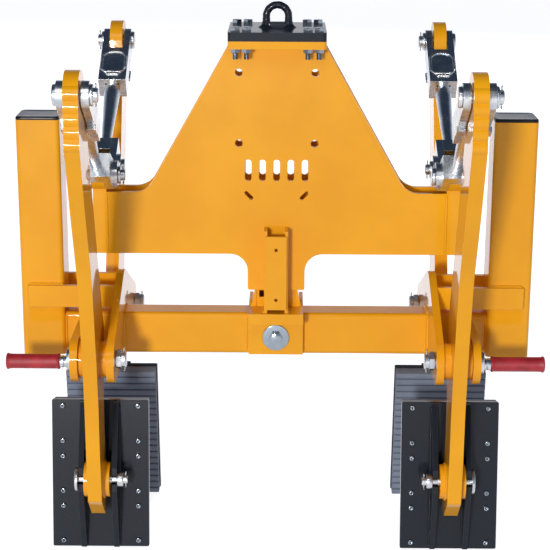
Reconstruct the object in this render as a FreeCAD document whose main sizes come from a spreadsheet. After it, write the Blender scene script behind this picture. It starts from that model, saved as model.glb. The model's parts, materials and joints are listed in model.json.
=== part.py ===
# Lifting tongs: a lifting body hangs by its eye, a base frame slides on the body's stem, and four
# arms on the base frame press their pads together when links from the body spread the arm tops.
# Lengths are in millimetres. Heights are above the lowest pads, and the origin is the eye's centre.
# A rise or drop is measured from the piece that carries it.
# +X is to the right and +Y to the rear. A reach is a distance from the middle plane, front or rear.
import FreeCAD, Part
import math
import os
import re

Vector = FreeCAD.Vector

DIMS = {
    # clearances and the overrun of every cut
    "running_clearance": 0.05,
    "side_play": 0.3,
    "slide_clearance": 0.5,
    "open_slack": 1.0,
    "overrun": 5,
    # lifting eye and its plate
    "eye_height": 971,
    "eye_bar_radius": 7,
    "eye_loop_radius": 20,
    "eye_leg_height": 20,
    "eye_collar_radius": 16,
    "eye_collar_height": 10,
    "eye_plate_length": 175,
    "eye_plate_depth": 164,
    "eye_plate_thickness": 16,
    "eye_plate_corner": 6,
    "flange_thickness": 14,
    "plate_bolt_radius": 5,
    "plate_bolt_head_radius": 9.5,
    "plate_bolt_head_height": 7,
    "plate_bolt_nut_height": 8,
    "plate_bolt_tail": 12,
    "plate_bolt_end_inset": 13,
    "plate_bolt_column_gap": 20,
    "plate_bolt_row_inset": 20,
    # side plates of the lifting body
    "body_plate_thickness": 8,
    "body_gap": 50,
    "body_slope_foot": 239,
    "body_wing_height": 116,
    "body_shoulder_radius": 40,
    "body_stem_radius": 42,
    "body_corner_radius": 3,
    "stem_half_width": 53,
    "stem_length": 69,
    "stem_clearance": 35,
    "accessory_hole_radius": 7,
    "accessory_half_span": 69,
    "slot_width": 12,
    "slot_length": 40,
    "slot_pitch": 26,
    "slot_rise": 42,
    "corner_slot_width": 7,
    "corner_slot_length": 20,
    "corner_slot_reach": 51,
    "corner_slot_drop": 5,
    # lugs and pins that carry the links
    "lug_thickness": 25,
    "lug_ear_radius": 26,
    "lug_pin_reach": 32,
    "lug_pin_rise": 32,
    "lug_pin_radius": 10,
    "lug_pin_head_radius": 16.5,
    "lug_pin_head_height": 7,
    # arms
    "arm_offset": 325,
    "arm_thickness": 25,
    "arm_width": 100,
    "arm_top_radius": 40,
    "arm_tail_drop": 66,
    "arm_tail_width": 39,
    "arm_tail_shoulder_reach": 54,
    "arm_tail_shoulder_drop": 22,
    "scallop_radius": 16,
    "scallop_rise": 3.5,
    "scallop_pitch": 20.5,
    "scallop_lead": 6,
    "upper_pin_reach": 352,
    "upper_pin_height": 882,
    "upper_pin_radius": 12,
    "pivot_reach": 182,
    "pivot_rise": 237,
    "pivot_radius": 15,
    "pivot_boss_radius": 32,
    "pad_pin_reach": 170,
    "pad_pin_height": 142,
    "pad_pin_radius": 8,
    "pad_boss_radius": 32,
    "pad_boss_length": 47,
    # links
    "link_ear_radius": 23,
    "link_ear_thickness": 13,
    "link_ear_reach": 150,
    "link_slot_play": 1.5,
    "link_web_start": 52,
    "link_web_thickness": 10,
    "link_block_start": 108,
    "link_block_length": 18,
    "link_shank_radius": 18,
    "link_shank_low_radius": 8.5,
    "link_strap_start": 69,
    "link_strap_length": 22,
    "link_strap_drop": 9,
    "link_strap_overhang": 2,
    "link_foot_thickness": 13,
    "link_foot_boss_length": 9,
    "link_foot_reach": 62,
    "link_foot_block_length": 30,
    "link_foot_rise": 19,
    "link_foot_crest": 10,
    "link_ear_corner": 4,
    # headed pins with collars
    "pin_head_height": 7,
    "pin_head_overhang": 5.5,
    "pin_ring_overhang": 6,
    "pin_ring_length": 5,
    "nut_overhang": 3,
    "pad_nut_overhang": 6,
    "nut_length": 11,
    "pin_tail": 8,
    "split_pin_radius": 2,
    "split_pin_overhang": 7,
    # cross beam and uprights
    "beam_rise": 41,
    "beam_height": 80,
    "beam_depth": 60,
    "tube_wall": 5,
    "tube_corner": 8,
    "upright_width": 80,
    "upright_lead": 110,
    "upright_top_height": 786,
    "cap_rise": 6,
    "cap_chamfer": 4,
    "cap_plug_depth": 20,
    # cheeks and braces
    "cheek_gap": 51,
    "cheek_thickness": 14,
    "cheek_lobe_radius": 40,
    "cheek_shoulder_rise": 25,
    "cheek_crown_rise": 80,
    "cheek_crown_radius": 60,
    "brace_height": 41,
    "brace_thickness": 10,
    "brace_rise": 16,
    "brace_overlap": 25,
    # saddle, guide and guide pin
    "saddle_half_width": 51,
    "saddle_reach": 76,
    "saddle_plate_thickness": 12,
    "saddle_lip_height": 21,
    "saddle_wall": 12,
    "saddle_wall_height": 77,
    "saddle_bolt_drop": 43,
    "saddle_bolt_radius": 8,
    "saddle_head_radius": 12.7,
    "saddle_head_height": 10,
    "saddle_washer_radius": 25,
    "saddle_washer_thickness": 4,
    "strap_width": 39,
    "strap_thickness": 7,
    "strap_foot_gap": 8,
    "strap_rise": 147,
    "guide_half_width": 22,
    "guide_flange_thickness": 6,
    "guide_rise": 156,
    "guide_hole_radius": 3,
    "guide_hole_drop": 25,
    "guide_hole_rise": 27,
    "post_half_width": 39,
    "post_height": 130,
    "post_gusset_foot": 8,
    "post_gusset_height": 36,
    "post_window": 13,
    "post_window_offset": 25,
    "post_window_rise": 25,
    "guide_pin_radius": 7,
    "guide_pin_rise": 83,
    "travel": 34,
    # grips on the pivot pins
    "grip_radius": 15,
    "grip_length": 96,
    "grip_drop": 5,
    "grip_end_wall": 6,
    "grip_core_radius": 10,
    "keeper_radius": 22,
    "keeper_thickness": 8,
    "collar_radius": 11,
    "collar_length": 13,
    # pads
    "pad_tilt": 8.5,
    "pad_width": 180,
    "pad_length": 280,
    "carrier_offset": 44,
    "carrier_thickness": 10,
    "rib_thickness": 10,
    "rib_end_inset": 2,
    "rib_end_depth": 12,
    "rib_back_reach": 10,
    "rib_back_length": 44,
    "rubber_thickness": 25,
    "rubber_inset": 2,
    "groove_pitch": 14,
    "groove_width": 3,
    "groove_depth": 5,
    "pad_screw_radius": 3,
    "pad_screw_head_radius": 5,
    "pad_screw_head_height": 4,
    "pad_screw_side_inset": 20,
    "pad_pin_head_radius": 23,
    "pad_pin_head_height": 6,
}

SLOT_COUNT = 5
SCALLOP_COUNT = 5
HEX_SIDES = 6
QUARTER_TURN = 90
HALF_TURN = 180

# An arm's outer and inner edges: each point is a share of the way between two pins, then a share
# of the arm's width away from that line, then a share of the width for the corner's radius.
ARM_UPPER_OUTER_SHARES = ((0.17, 0.69, 0.3), (0.40, 0.60, 2.0), (0.65, 0.42, 2.0), (0.98, 0.63, 2.0))
ARM_LOWER_OUTER_SHARES = ((0.35, 0.58, 2.0), (0.70, 0.60, 2.0))
ARM_LOWER_INNER_SHARES = ((0.96, 0.30, 0.3), (0.64, 0.20, 0.8), (0.32, 0.25, 0.5))
ARM_UPPER_INNER_SHARES = ((0.95, 0.73, 0.6), (0.79, 0.62, 2.0), (0.11, 0.33, 1.0))
ARM_TAIL_RADIUS_SHARE = 0.2
# How far up the sloping part of a body plate its two rows of round holes are.
ACCESSORY_RISE_SHARES = (0.8216, 0.342)
# How far from a pad's middle its rows of screws are, of the pad's length.
PAD_SCREW_SHARES = (0.118, 0.2215, 0.457)
FILLET_LIMIT_SHARE = 0.48

SIDES = (("left", -1), ("right", 1))
ENDS = (("front", -1), ("rear", 1))

doc = FreeCAD.newDocument("lifting_tongs")
sheet = doc.addObject("Spreadsheet::Sheet", "Dims")
for row, (name, value) in enumerate(DIMS.items(), 1):
    sheet.set(f"A{row}", name)
    sheet.set(f"B{row}", str(value))
    sheet.setAlias(f"B{row}", name)
doc.recompute()


class Sizes:
    """Reads a driving dimension from the sheet by its alias."""

    def __getattr__(self, alias):
        return float(sheet.get(alias))


size = Sizes()
subparts = {}

pivot_level = size.pad_pin_height + size.pivot_rise
saddle_top_level = pivot_level + size.beam_rise + size.saddle_plate_thickness
stem_low_level = saddle_top_level + size.stem_clearance
wing_low_level = stem_low_level + size.stem_length
wing_top_level = wing_low_level + size.body_wing_height
lug_pin_level = wing_top_level + size.lug_pin_rise

PIVOT = "(pad_pin_height + pivot_rise)"
BEAM_TOP = f"({PIVOT} + beam_rise)"
BEAM_LOW = f"({BEAM_TOP} - beam_height)"
SADDLE_TOP = f"({BEAM_TOP} + saddle_plate_thickness)"
SADDLE_BOLT = f"({BEAM_TOP} - saddle_bolt_drop)"
GUIDE_PIN = f"({SADDLE_TOP} + guide_pin_rise)"
WING_LOW = f"({SADDLE_TOP} + stem_clearance + stem_length)"
LUG_PIN = f"({WING_LOW} + body_wing_height + lug_pin_rise)"
GRIP_AXIS = f"({PIVOT} - grip_drop)"


def bind(item, prop, text):
    """Binds one property to a sum of sheet aliases."""
    item.setExpression(prop, re.sub(r"[a-z_]+", lambda found: alias_text(found.group()), text))


def alias_text(word):
    return f"Dims.{word}" if word in DIMS else word


def place(item, x="0", y="0", height="eye_height"):
    """Binds the item's place, with its height given above the lowest pads."""
    for axis, text in (("x", x), ("y", y), ("z", f"{height} - eye_height")):
        bind(item, f"Placement.Base.{axis}", text)
    return item


def turn(item, axis, angle):
    item.Placement.Rotation = FreeCAD.Rotation(axis, angle)
    return item


def along(item, axis):
    """Turns a primitive whose length runs up so that it runs along the named axis."""
    if axis == "X":
        turn(item, Vector(0, 1, 0), QUARTER_TURN)
    if axis == "Y":
        turn(item, Vector(1, 0, 0), -QUARTER_TURN)
    return item


def box(name, length, width, height):
    item = doc.addObject("Part::Box", name)
    for prop, text in (("Length", length), ("Width", width), ("Height", height)):
        bind(item, prop, text)
    return item


def rod(name, radius, length, axis="Z"):
    item = doc.addObject("Part::Cylinder", name)
    bind(item, "Radius", radius)
    bind(item, "Height", length)
    return along(item, axis)


def cone(name, low_radius, top_radius, length, axis="Z"):
    item = doc.addObject("Part::Cone", name)
    bind(item, "Radius1", low_radius)
    bind(item, "Radius2", top_radius)
    bind(item, "Height", length)
    return along(item, axis)


def hexagon(name, radius, length, axis="Z"):
    item = doc.addObject("Part::Prism", name)
    item.Polygon = HEX_SIDES
    bind(item, "Circumradius", radius)
    bind(item, "Height", length)
    return along(item, axis)


def fuse(name, items):
    item = doc.addObject("Part::MultiFuse", name)
    item.Shapes = items
    return item


def cut(name, base, tools):
    item = doc.addObject("Part::Cut", name)
    item.Base = base
    item.Tool = tools[0] if len(tools) == 1 else fuse(f"{name}_tools", tools)
    return item


def group(name, items):
    item = doc.addObject("Part::Compound", name)
    item.Links = items
    return item


def keep(node, item):
    """Names a finished sub-part."""
    item.Label = node
    subparts[node] = item
    return item


def rounded(points):
    """Closed outline through corners (x, y, radius), each round limited by its two edges."""
    corners = []
    count = len(points)
    for index, (x, y, radius) in enumerate(points):
        corner = Vector(x, y, 0)
        before = Vector(*points[index - 1][:2], 0) - corner
        after = Vector(*points[(index + 1) % count][:2], 0) - corner
        half = before.getAngle(after) / 2
        radius = min(radius, FILLET_LIMIT_SHARE * min(before.Length, after.Length) * math.tan(half))
        before.normalize()
        after.normalize()
        inward = before + after
        if radius <= 0 or inward.Length < 1e-6:
            corners.append((corner, None, corner))
            continue
        inward.normalize()
        reach = radius / math.tan(half)
        middle = corner + inward * (radius / math.sin(half) - radius)
        corners.append((corner + before * reach, middle, corner + after * reach))
    edges = []
    for index, (start, middle, end) in enumerate(corners):
        if middle is not None:
            edges.append(Part.Arc(start, middle, end))
        following = corners[(index + 1) % count][0]
        if end.distanceToPoint(following) > 1e-6:
            edges.append(Part.LineSegment(end, following))
    return edges


def rectangle(half_x, half_y, radius, x=0.0, y=0.0):
    signs = ((-1, -1), (1, -1), (1, 1), (-1, 1))
    return rounded([(x + sx * half_x, y + sy * half_y, radius) for sx, sy in signs])


def obround(x, y, width, length, lean=0.0):
    """A round-ended slot, upright at lean 0."""
    straight = (length - width) / 2
    lean = math.radians(lean)
    up = Vector(math.sin(lean), math.cos(lean), 0)
    across = Vector(up.y, -up.x, 0) * (width / 2)
    top = Vector(x, y, 0) + up * straight
    low = Vector(x, y, 0) - up * straight
    return [
        Part.LineSegment(low + across, top + across),
        Part.Arc(top + across, top + up * (width / 2), top - across),
        Part.LineSegment(top - across, low - across),
        Part.Arc(low - across, low - up * (width / 2), low + across),
    ]


def circle(x, y, radius):
    return [Part.Circle(Vector(x, y, 0), Vector(0, 0, 1), radius)]


def plate(name, plane, wires, thickness):
    """A body padded evenly both ways from a sketch on one of its origin planes."""
    body = doc.addObject("PartDesign::Body", name)
    sketch = body.newObject("Sketcher::SketchObject", f"{name}_sketch")
    support = next(item for item in body.Origin.OriginFeatures if item.Role == plane)
    sketch.AttachmentSupport = (support, [""])
    sketch.MapMode = "FlatFace"
    for edges in wires:
        sketch.addGeometry(edges, False)
    pad = body.newObject("PartDesign::Pad", f"{name}_pad")
    pad.Profile = sketch
    pad.SideType = "Symmetric"
    bind(pad, "Length", thickness)
    return body


def headed_pin(name, outward, radius, head_radius, head_height, grip, nut_radius, nut_length):
    """A pin along X with its head outward, a collar inward and a split pin through its tail.

    grip is the width between head and nut, and the pin is centred on it."""
    half = f"({grip}) / 2"
    length = f"{grip} + {nut_length} + pin_tail"
    shank = rod(f"{name}_shank", radius, length, "X")
    head = rod(f"{name}_head", head_radius, head_height, "X")
    split = rod(f"{name}_split", "split_pin_radius", f"2 * ({radius} + split_pin_overhang)")
    nut = rod(f"{name}_nut_blank", nut_radius, nut_length, "X")
    bore = rod(f"{name}_nut_bore", f"{radius} + running_clearance", f"{nut_length} + 2 * overrun", "X")
    if outward > 0:
        spots = (f"-{half} - {nut_length} - pin_tail", half, f"-{half} - {nut_length} - pin_tail / 2",
                 f"-{half} - {nut_length}", f"-{half} - {nut_length} - overrun")
    else:
        spots = (f"-{half}", f"-{half} - {head_height}", f"{half} + {nut_length} + pin_tail / 2",
                 half, f"{half} - overrun")
    for item, spot in zip((shank, head, split, nut, bore), spots):
        bind(item, "Placement.Base.x", spot)
    bind(split, "Placement.Base.z", f"-{radius} - split_pin_overhang")
    pin = fuse(f"{name}_pin", [shank, head, split])
    return group(name, [pin, cut(f"{name}_nut", nut, [bore])])


# Lifting body

EYE_PLATE_LOW = "eye_height - eye_leg_height - eye_plate_thickness"
FLANGE_LOW = f"{EYE_PLATE_LOW} - flange_thickness"
PLATE_FACE = "(body_gap / 2 + body_plate_thickness)"


def lifting_eye():
    loop = doc.addObject("Part::Torus", "eye_loop")
    bind(loop, "Radius1", "eye_loop_radius")
    bind(loop, "Radius2", "eye_bar_radius")
    loop.Angle3 = HALF_TURN
    turn(loop, Vector(1, 0, 0), QUARTER_TURN)
    pieces = [place(loop)]
    for side, sign in SIDES:
        x = f"{sign} * eye_loop_radius"
        foot = "eye_height - eye_leg_height"
        leg = rod(f"eye_leg_{side}", "eye_bar_radius", "eye_leg_height")
        collar = cone(f"eye_collar_{side}", "eye_collar_radius", "eye_bar_radius", "eye_collar_height")
        pieces += [place(leg, x, "0", foot), place(collar, x, "0", foot)]
    block = box("eye_foot", "2 * eye_loop_radius", "2 * eye_bar_radius", "eye_collar_height")
    pieces.append(place(block, "-eye_loop_radius", "-eye_bar_radius", foot))
    keep("lifting_eye", fuse("eye", pieces))


def bolt_spots():
    outer = size.eye_plate_length / 2 - size.plate_bolt_end_inset
    columns = (outer, outer - size.plate_bolt_column_gap)
    row = size.eye_plate_depth / 2 - size.plate_bolt_row_inset
    return [(sx * column, sy * row) for sx in (-1, 1) for column in columns for sy in (-1, 1)]


def bolt_spot_texts():
    outer = "(eye_plate_length / 2 - plate_bolt_end_inset)"
    columns = (outer, f"({outer} - plate_bolt_column_gap)")
    row = "(eye_plate_depth / 2 - plate_bolt_row_inset)"
    return [(f"{sx} * {column}", f"{sy} * {row}")
            for sx in (-1, 1) for column in columns for sy in (-1, 1)]


def top_plates():
    outline = rectangle(size.eye_plate_length / 2, size.eye_plate_depth / 2, size.eye_plate_corner)
    holes = [circle(x, y, size.plate_bolt_radius + size.running_clearance) for x, y in bolt_spots()]
    for node, low, thickness in (("eye_plate", EYE_PLATE_LOW, "eye_plate_thickness"),
                                 ("body_flange", FLANGE_LOW, "flange_thickness")):
        body = plate(node, "XY_Plane", [outline] + holes, thickness)
        keep(node, place(body, "0", "0", f"{low} + {thickness} / 2"))


def top_bolts():
    bolts = []
    nuts = []
    for index, (x, y) in enumerate(bolt_spot_texts(), 1):
        head = hexagon(f"plate_bolt_head_{index}", "plate_bolt_head_radius", "plate_bolt_head_height")
        place(turn(head, Vector(0, 0, 1), QUARTER_TURN), x, y, "eye_height - eye_leg_height")
        shank = rod(f"plate_bolt_shank_{index}", "plate_bolt_radius",
                    "eye_plate_thickness + flange_thickness + plate_bolt_nut_height + plate_bolt_tail")
        place(shank, x, y, f"{FLANGE_LOW} - plate_bolt_nut_height - plate_bolt_tail")
        bolts.append(fuse(f"plate_bolt_{index}", [head, shank]))
        blank = hexagon(f"plate_nut_blank_{index}", "plate_bolt_head_radius", "plate_bolt_nut_height")
        place(turn(blank, Vector(0, 0, 1), QUARTER_TURN), x, y, f"{FLANGE_LOW} - plate_bolt_nut_height")
        bore = rod(f"plate_nut_bore_{index}", "plate_bolt_radius + running_clearance",
                   "plate_bolt_nut_height + 2 * overrun")
        place(bore, x, y, f"{FLANGE_LOW} - plate_bolt_nut_height - overrun")
        nuts.append(cut(f"plate_nut_{index}", blank, [bore]))
    keep("eye_plate_bolts", group("plate_bolts", bolts))
    keep("eye_plate_nuts", group("plate_nuts", nuts))


def side_plates():
    top = size.eye_height - size.eye_leg_height - size.eye_plate_thickness - size.flange_thickness
    wing_end = size.arm_offset - size.lug_thickness / 2
    half = [
        (size.eye_plate_length / 2, top, 0),
        (size.body_slope_foot, wing_top_level, size.body_shoulder_radius),
        (wing_end, wing_top_level, 0),
        (wing_end, wing_low_level, 0),
        (size.stem_half_width, wing_low_level, size.body_stem_radius),
        (size.stem_half_width, stem_low_level, size.body_corner_radius),
    ]
    wires = [rounded(half + [(-x, y, radius) for x, y, radius in reversed(half)])]
    for sign in (-1, 1):
        for share in ACCESSORY_RISE_SHARES:
            height = wing_top_level + share * (top - wing_top_level)
            wires.append(circle(sign * size.accessory_half_span, height, size.accessory_hole_radius))
        wires.append(obround(sign * size.corner_slot_reach, wing_top_level - size.corner_slot_drop,
                             size.corner_slot_width, size.corner_slot_length, sign * QUARTER_TURN / 2))
    for index in range(SLOT_COUNT):
        x = (index - (SLOT_COUNT - 1) / 2) * size.slot_pitch
        wires.append(obround(x, wing_top_level + size.slot_rise, size.slot_width, size.slot_length))
    slot_width = 2 * (size.guide_pin_radius + size.slide_clearance)
    slot_length = slot_width + size.travel
    slot_low = saddle_top_level + size.guide_pin_rise - size.guide_pin_radius - size.side_play
    wires.append(obround(0, slot_low + slot_length / 2, slot_width, slot_length))
    for end, sign in ENDS:
        body = plate(f"{end}_body_plate", "XZ_Plane", wires, "body_plate_thickness")
        y = f"{sign} * (body_gap / 2 + body_plate_thickness / 2)"
        keep(f"{end}_body_plate", place(body, "0", y, "0"))


def link_lugs():
    pins = []
    for side, sign in SIDES:
        x = f"{sign} * arm_offset - lug_thickness / 2"
        block = box(f"{side}_lug_block", "lug_thickness", f"2 * {PLATE_FACE}",
                    "body_wing_height + lug_pin_rise")
        pieces = [place(block, x, f"-{PLATE_FACE}", WING_LOW)]
        bores = []
        for end, way in ENDS:
            y = f"{way} * lug_pin_reach"
            ear = rod(f"{side}_{end}_lug_ear", "lug_ear_radius", "lug_thickness", "X")
            pieces.append(place(ear, x, y, LUG_PIN))
            bore = rod(f"{side}_{end}_lug_bore", "lug_pin_radius + running_clearance",
                       "lug_thickness + 2 * overrun", "X")
            bores.append(place(bore, f"{x} - overrun", y, LUG_PIN))
            grip = "lug_thickness + 2 * (link_foot_thickness + link_foot_boss_length + 2 * side_play)"
            pin = headed_pin(f"{side}_{end}_lug_pin", way, "lug_pin_radius", "lug_pin_head_radius",
                             "lug_pin_head_height", grip, "(lug_pin_radius + pin_ring_overhang)",
                             "pin_ring_length")
            pins.append(place(pin, f"{sign} * arm_offset", y, LUG_PIN))
        blank = fuse(f"{side}_lug_blank", pieces)
        keep(f"{side}_link_lug", cut(f"{side}_lug", blank, bores))
    keep("lug_pins", group("all_lug_pins", pins))


# Base frame

CHEEK_FACE = "(arm_offset - cheek_gap / 2)"
OUTER_CHEEK_FACE = "(arm_offset + cheek_gap / 2 + cheek_thickness)"
UPRIGHT = "(arm_offset + upright_lead)"


def tube(name, plane, half_x, half_y, length):
    outer = rectangle(half_x, half_y, size.tube_corner)
    inner = rectangle(half_x - size.tube_wall, half_y - size.tube_wall, size.tube_corner - size.tube_wall)
    return plate(name, plane, [outer, inner], length)


def beam_and_uprights():
    beam = tube("beam_tube", "YZ_Plane", size.beam_depth / 2, size.beam_height / 2,
                f"2 * {UPRIGHT} - upright_width")
    place(beam, "0", "0", f"{BEAM_TOP} - beam_height / 2")
    bore = rod("beam_bore", "saddle_bolt_radius + running_clearance", "beam_depth + 2 * overrun", "Y")
    place(bore, "0", "-beam_depth / 2 - overrun", SADDLE_BOLT)
    keep("cross_beam", cut("beam", beam, [bore]))
    caps = []
    for side, sign in SIDES:
        half = size.upright_width / 2
        upright = tube(f"{side}_upright_tube", "XY_Plane", half, half,
                       f"upright_top_height - {BEAM_LOW}")
        place(upright, f"{sign} * {UPRIGHT}", "0", f"(upright_top_height + {BEAM_LOW}) / 2")
        keep(f"{side}_upright", upright)
        caps.append(upright_cap(side, sign))
    keep("upright_caps", group("caps", caps))


def upright_cap(side, sign):
    lid = box(f"{side}_cap_lid", "upright_width", "upright_width", "cap_rise")
    place(lid, f"{sign} * {UPRIGHT} - upright_width / 2", "-upright_width / 2", "upright_top_height")
    doc.recompute()
    top = lid.Shape.BoundBox.ZMax
    eased = doc.addObject("Part::Chamfer", f"{side}_cap_eased")
    eased.Base = lid
    eased.Edges = [(number, size.cap_chamfer, size.cap_chamfer)
                   for number, edge in enumerate(lid.Shape.Edges, 1)
                   if abs(edge.BoundBox.ZMin - top) < 1e-6]
    bore = "(upright_width - 2 * tube_wall - 2 * side_play)"
    plug = box(f"{side}_cap_plug", bore, bore, "cap_plug_depth")
    place(plug, f"{sign} * {UPRIGHT} - {bore} / 2", f"-{bore} / 2",
          "upright_top_height - cap_plug_depth")
    corner = doc.addObject("Part::Fillet", f"{side}_cap_plug_eased")
    corner.Base = plug
    doc.recompute()
    corner.Edges = [(number, size.tube_corner - size.tube_wall, size.tube_corner - size.tube_wall)
                    for number, edge in enumerate(plug.Shape.Edges, 1)
                    if edge.BoundBox.ZLength > size.cap_plug_depth / 2]
    return fuse(f"{side}_cap", [eased, corner])


def cheek_bores(name, x, length):
    bores = []
    for end, way in ENDS:
        bore = rod(f"{name}_{end}_bore", "pivot_radius + running_clearance", f"{length} + 2 * overrun", "X")
        bores.append(place(bore, f"{x} - overrun", f"{way} * pivot_reach", PIVOT))
    return bores


def cheeks():
    reach = size.pivot_reach + size.cheek_lobe_radius
    lobe = size.cheek_lobe_radius
    low = pivot_level - lobe
    high = pivot_level + lobe
    shoulder = pivot_level + size.cheek_shoulder_rise
    crown = pivot_level + size.beam_rise + size.cheek_crown_rise
    inner = rounded([(-reach, low, lobe), (reach, low, lobe), (reach, shoulder, lobe),
                     (0, crown, size.cheek_crown_radius), (-reach, shoulder, lobe)])
    outer = rounded([(-reach, low, lobe), (reach, low, lobe), (reach, high, lobe), (-reach, high, lobe)])
    for side, sign in SIDES:
        for kind, outline, gap_sign in (("inner", inner, -1), ("outer", outer, 1)):
            name = f"{side}_{kind}_cheek"
            centre = f"{sign} * (arm_offset + {gap_sign} * (cheek_gap + cheek_thickness) / 2)"
            blank = place(plate(f"{name}_blank", "YZ_Plane", [outline], "cheek_thickness"),
                          centre, "0", "0")
            notch_top = BEAM_TOP if kind == "inner" else f"{BEAM_TOP} + overrun"
            notch = box(f"{name}_notch", "cheek_thickness + 2 * overrun", "beam_depth",
                        f"{notch_top} - {BEAM_LOW} + overrun")
            start = f"{centre} - cheek_thickness / 2"
            place(notch, f"{start} - overrun", "-beam_depth / 2", f"{BEAM_LOW} - overrun")
            bores = cheek_bores(name, start, "cheek_thickness")
            keep(name, cut(name, blank, [notch] + bores))


def braces():
    bars = []
    for side, sign in SIDES:
        length = f"{UPRIGHT} + brace_overlap - {CHEEK_FACE}"
        x = CHEEK_FACE if sign > 0 else f"-{UPRIGHT} - brace_overlap"
        for end, way in ENDS:
            y = "upright_width / 2" if way > 0 else "-upright_width / 2 - brace_thickness"
            bar = box(f"{side}_{end}_brace", length, "brace_thickness", "brace_height")
            bars.append(place(bar, x, y, f"{BEAM_TOP} + brace_rise"))
    keep("brace_bars", group("braces", bars))


def saddle():
    top = box("saddle_plate", "2 * saddle_half_width", "2 * saddle_reach", "saddle_plate_thickness")
    pieces = [place(top, "-saddle_half_width", "-saddle_reach", BEAM_TOP)]
    for end, way in ENDS:
        lip = box(f"saddle_{end}_lip", "2 * saddle_half_width", "saddle_wall", "saddle_lip_height")
        y = "saddle_reach - saddle_wall" if way > 0 else "-saddle_reach"
        pieces.append(place(lip, "-saddle_half_width", y, f"{SADDLE_TOP} - saddle_lip_height"))
        wall = box(f"saddle_{end}_wall", "2 * saddle_half_width", "saddle_wall", "saddle_wall_height")
        y = "beam_depth / 2" if way > 0 else "-beam_depth / 2 - saddle_wall"
        pieces.append(place(wall, "-saddle_half_width", y, f"{BEAM_TOP} - saddle_wall_height"))
    bore = rod("saddle_bore", "saddle_bolt_radius + running_clearance", "2 * (saddle_reach + overrun)", "Y")
    place(bore, "0", "-saddle_reach - overrun", SADDLE_BOLT)
    keep("saddle", cut("saddle_cut", fuse("saddle_blank", pieces), [bore]))


def saddle_bolt():
    face = "(beam_depth / 2 + saddle_wall)"
    outside = f"({face} + saddle_washer_thickness)"
    shank = rod("saddle_bolt_shank", "saddle_bolt_radius", f"2 * {outside} + 2 * saddle_head_height", "Y")
    place(shank, "0", f"-{outside}", SADDLE_BOLT)
    head = hexagon("saddle_bolt_head", "saddle_head_radius", "saddle_head_height", "Y")
    place(head, "0", f"-{outside} - saddle_head_height", SADDLE_BOLT)
    keep("saddle_bolt", fuse("bolt_across_saddle", [shank, head]))
    pieces = []
    for end, way in ENDS:
        y = face if way > 0 else f"-{outside}"
        blank = rod(f"saddle_{end}_washer_blank", "saddle_washer_radius", "saddle_washer_thickness", "Y")
        bore = rod(f"saddle_{end}_washer_bore", "saddle_bolt_radius + running_clearance",
                   "saddle_washer_thickness + 2 * overrun", "Y")
        place(blank, "0", y, SADDLE_BOLT)
        place(bore, "0", f"{y} - overrun", SADDLE_BOLT)
        pieces.append(cut(f"saddle_{end}_washer", blank, [bore]))
    nut = hexagon("saddle_nut_blank", "saddle_head_radius", "saddle_head_height", "Y")
    bore = rod("saddle_nut_bore", "saddle_bolt_radius + running_clearance",
               "saddle_head_height + 2 * overrun", "Y")
    place(nut, "0", outside, SADDLE_BOLT)
    place(bore, "0", f"{outside} - overrun", SADDLE_BOLT)
    pieces.append(cut("saddle_nut", nut, [bore]))
    keep("saddle_washers", group("saddle_washers_and_nut", pieces))


def guides():
    inner = f"({PLATE_FACE} + slide_clearance)"
    for end, way in ENDS:
        strap = box(f"{end}_strap", "strap_width", "strap_thickness",
                    "strap_rise - strap_foot_gap")
        y = "saddle_reach - strap_thickness" if way > 0 else "-saddle_reach"
        pieces = [place(strap, "-strap_width / 2", y, f"{SADDLE_TOP} + strap_foot_gap")]
        for side, sign in SIDES:
            flange = box(f"{end}_{side}_guide_flange", "guide_flange_thickness",
                         f"saddle_reach - strap_thickness - {inner}", "guide_rise")
            x = "guide_half_width - guide_flange_thickness" if sign > 0 else "-guide_half_width"
            y = inner if way > 0 else "-saddle_reach + strap_thickness"
            pieces.append(place(flange, x, y, SADDLE_TOP))
        holes = []
        for label, rise in (("top", "strap_rise - guide_hole_drop"), ("low", "guide_hole_rise")):
            hole = rod(f"{end}_{label}_strap_hole", "guide_hole_radius", "strap_thickness + 2 * overrun", "Y")
            y = "saddle_reach - strap_thickness - overrun" if way > 0 else "-saddle_reach - overrun"
            holes.append(place(hole, "0", y, f"{SADDLE_TOP} + {rise}"))
        keep(f"{end}_guide", cut(f"{end}_guide_cut", fuse(f"{end}_guide_blank", pieces), holes))


def guide_post():
    half = size.body_gap / 2 - size.slide_clearance
    column = tube("post_tube", "XY_Plane", size.post_half_width, half, "post_height")
    pieces = [place(column, "0", "0", f"{SADDLE_TOP} + post_height / 2")]
    for side, sign in SIDES:
        inside = sign * (size.post_half_width - size.tube_wall / 2)
        foot = sign * (size.post_half_width + size.post_gusset_foot)
        corners = [(inside, saddle_top_level, 0), (foot, saddle_top_level, 0),
                   (sign * size.post_half_width, saddle_top_level + size.post_gusset_height, 0),
                   (inside, saddle_top_level + size.post_gusset_height, 0)]
        gusset = plate(f"post_{side}_gusset", "XZ_Plane", [rounded(corners)], "body_gap - 2 * slide_clearance")
        pieces.append(place(gusset, "0", "0", "0"))
    blank = fuse("post_blank", pieces)
    bore = rod("post_bore", "guide_pin_radius + running_clearance", "body_gap + 2 * overrun", "Y")
    place(bore, "0", "-body_gap / 2 - overrun", GUIDE_PIN)
    window = box("post_front_window", "post_window", "body_gap / 2 + overrun", "post_window")
    place(window, "-post_window_offset - post_window / 2", "-body_gap / 2 - overrun",
          f"{SADDLE_TOP} + post_window_rise - post_window / 2")
    keep("guide_post", cut("post", blank, [bore, window]))
    pin = rod("guide_pin_rod", "guide_pin_radius", "2 * (saddle_reach - strap_thickness)", "Y")
    keep("guide_pin", place(pin, "0", "-saddle_reach + strap_thickness", GUIDE_PIN))


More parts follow.
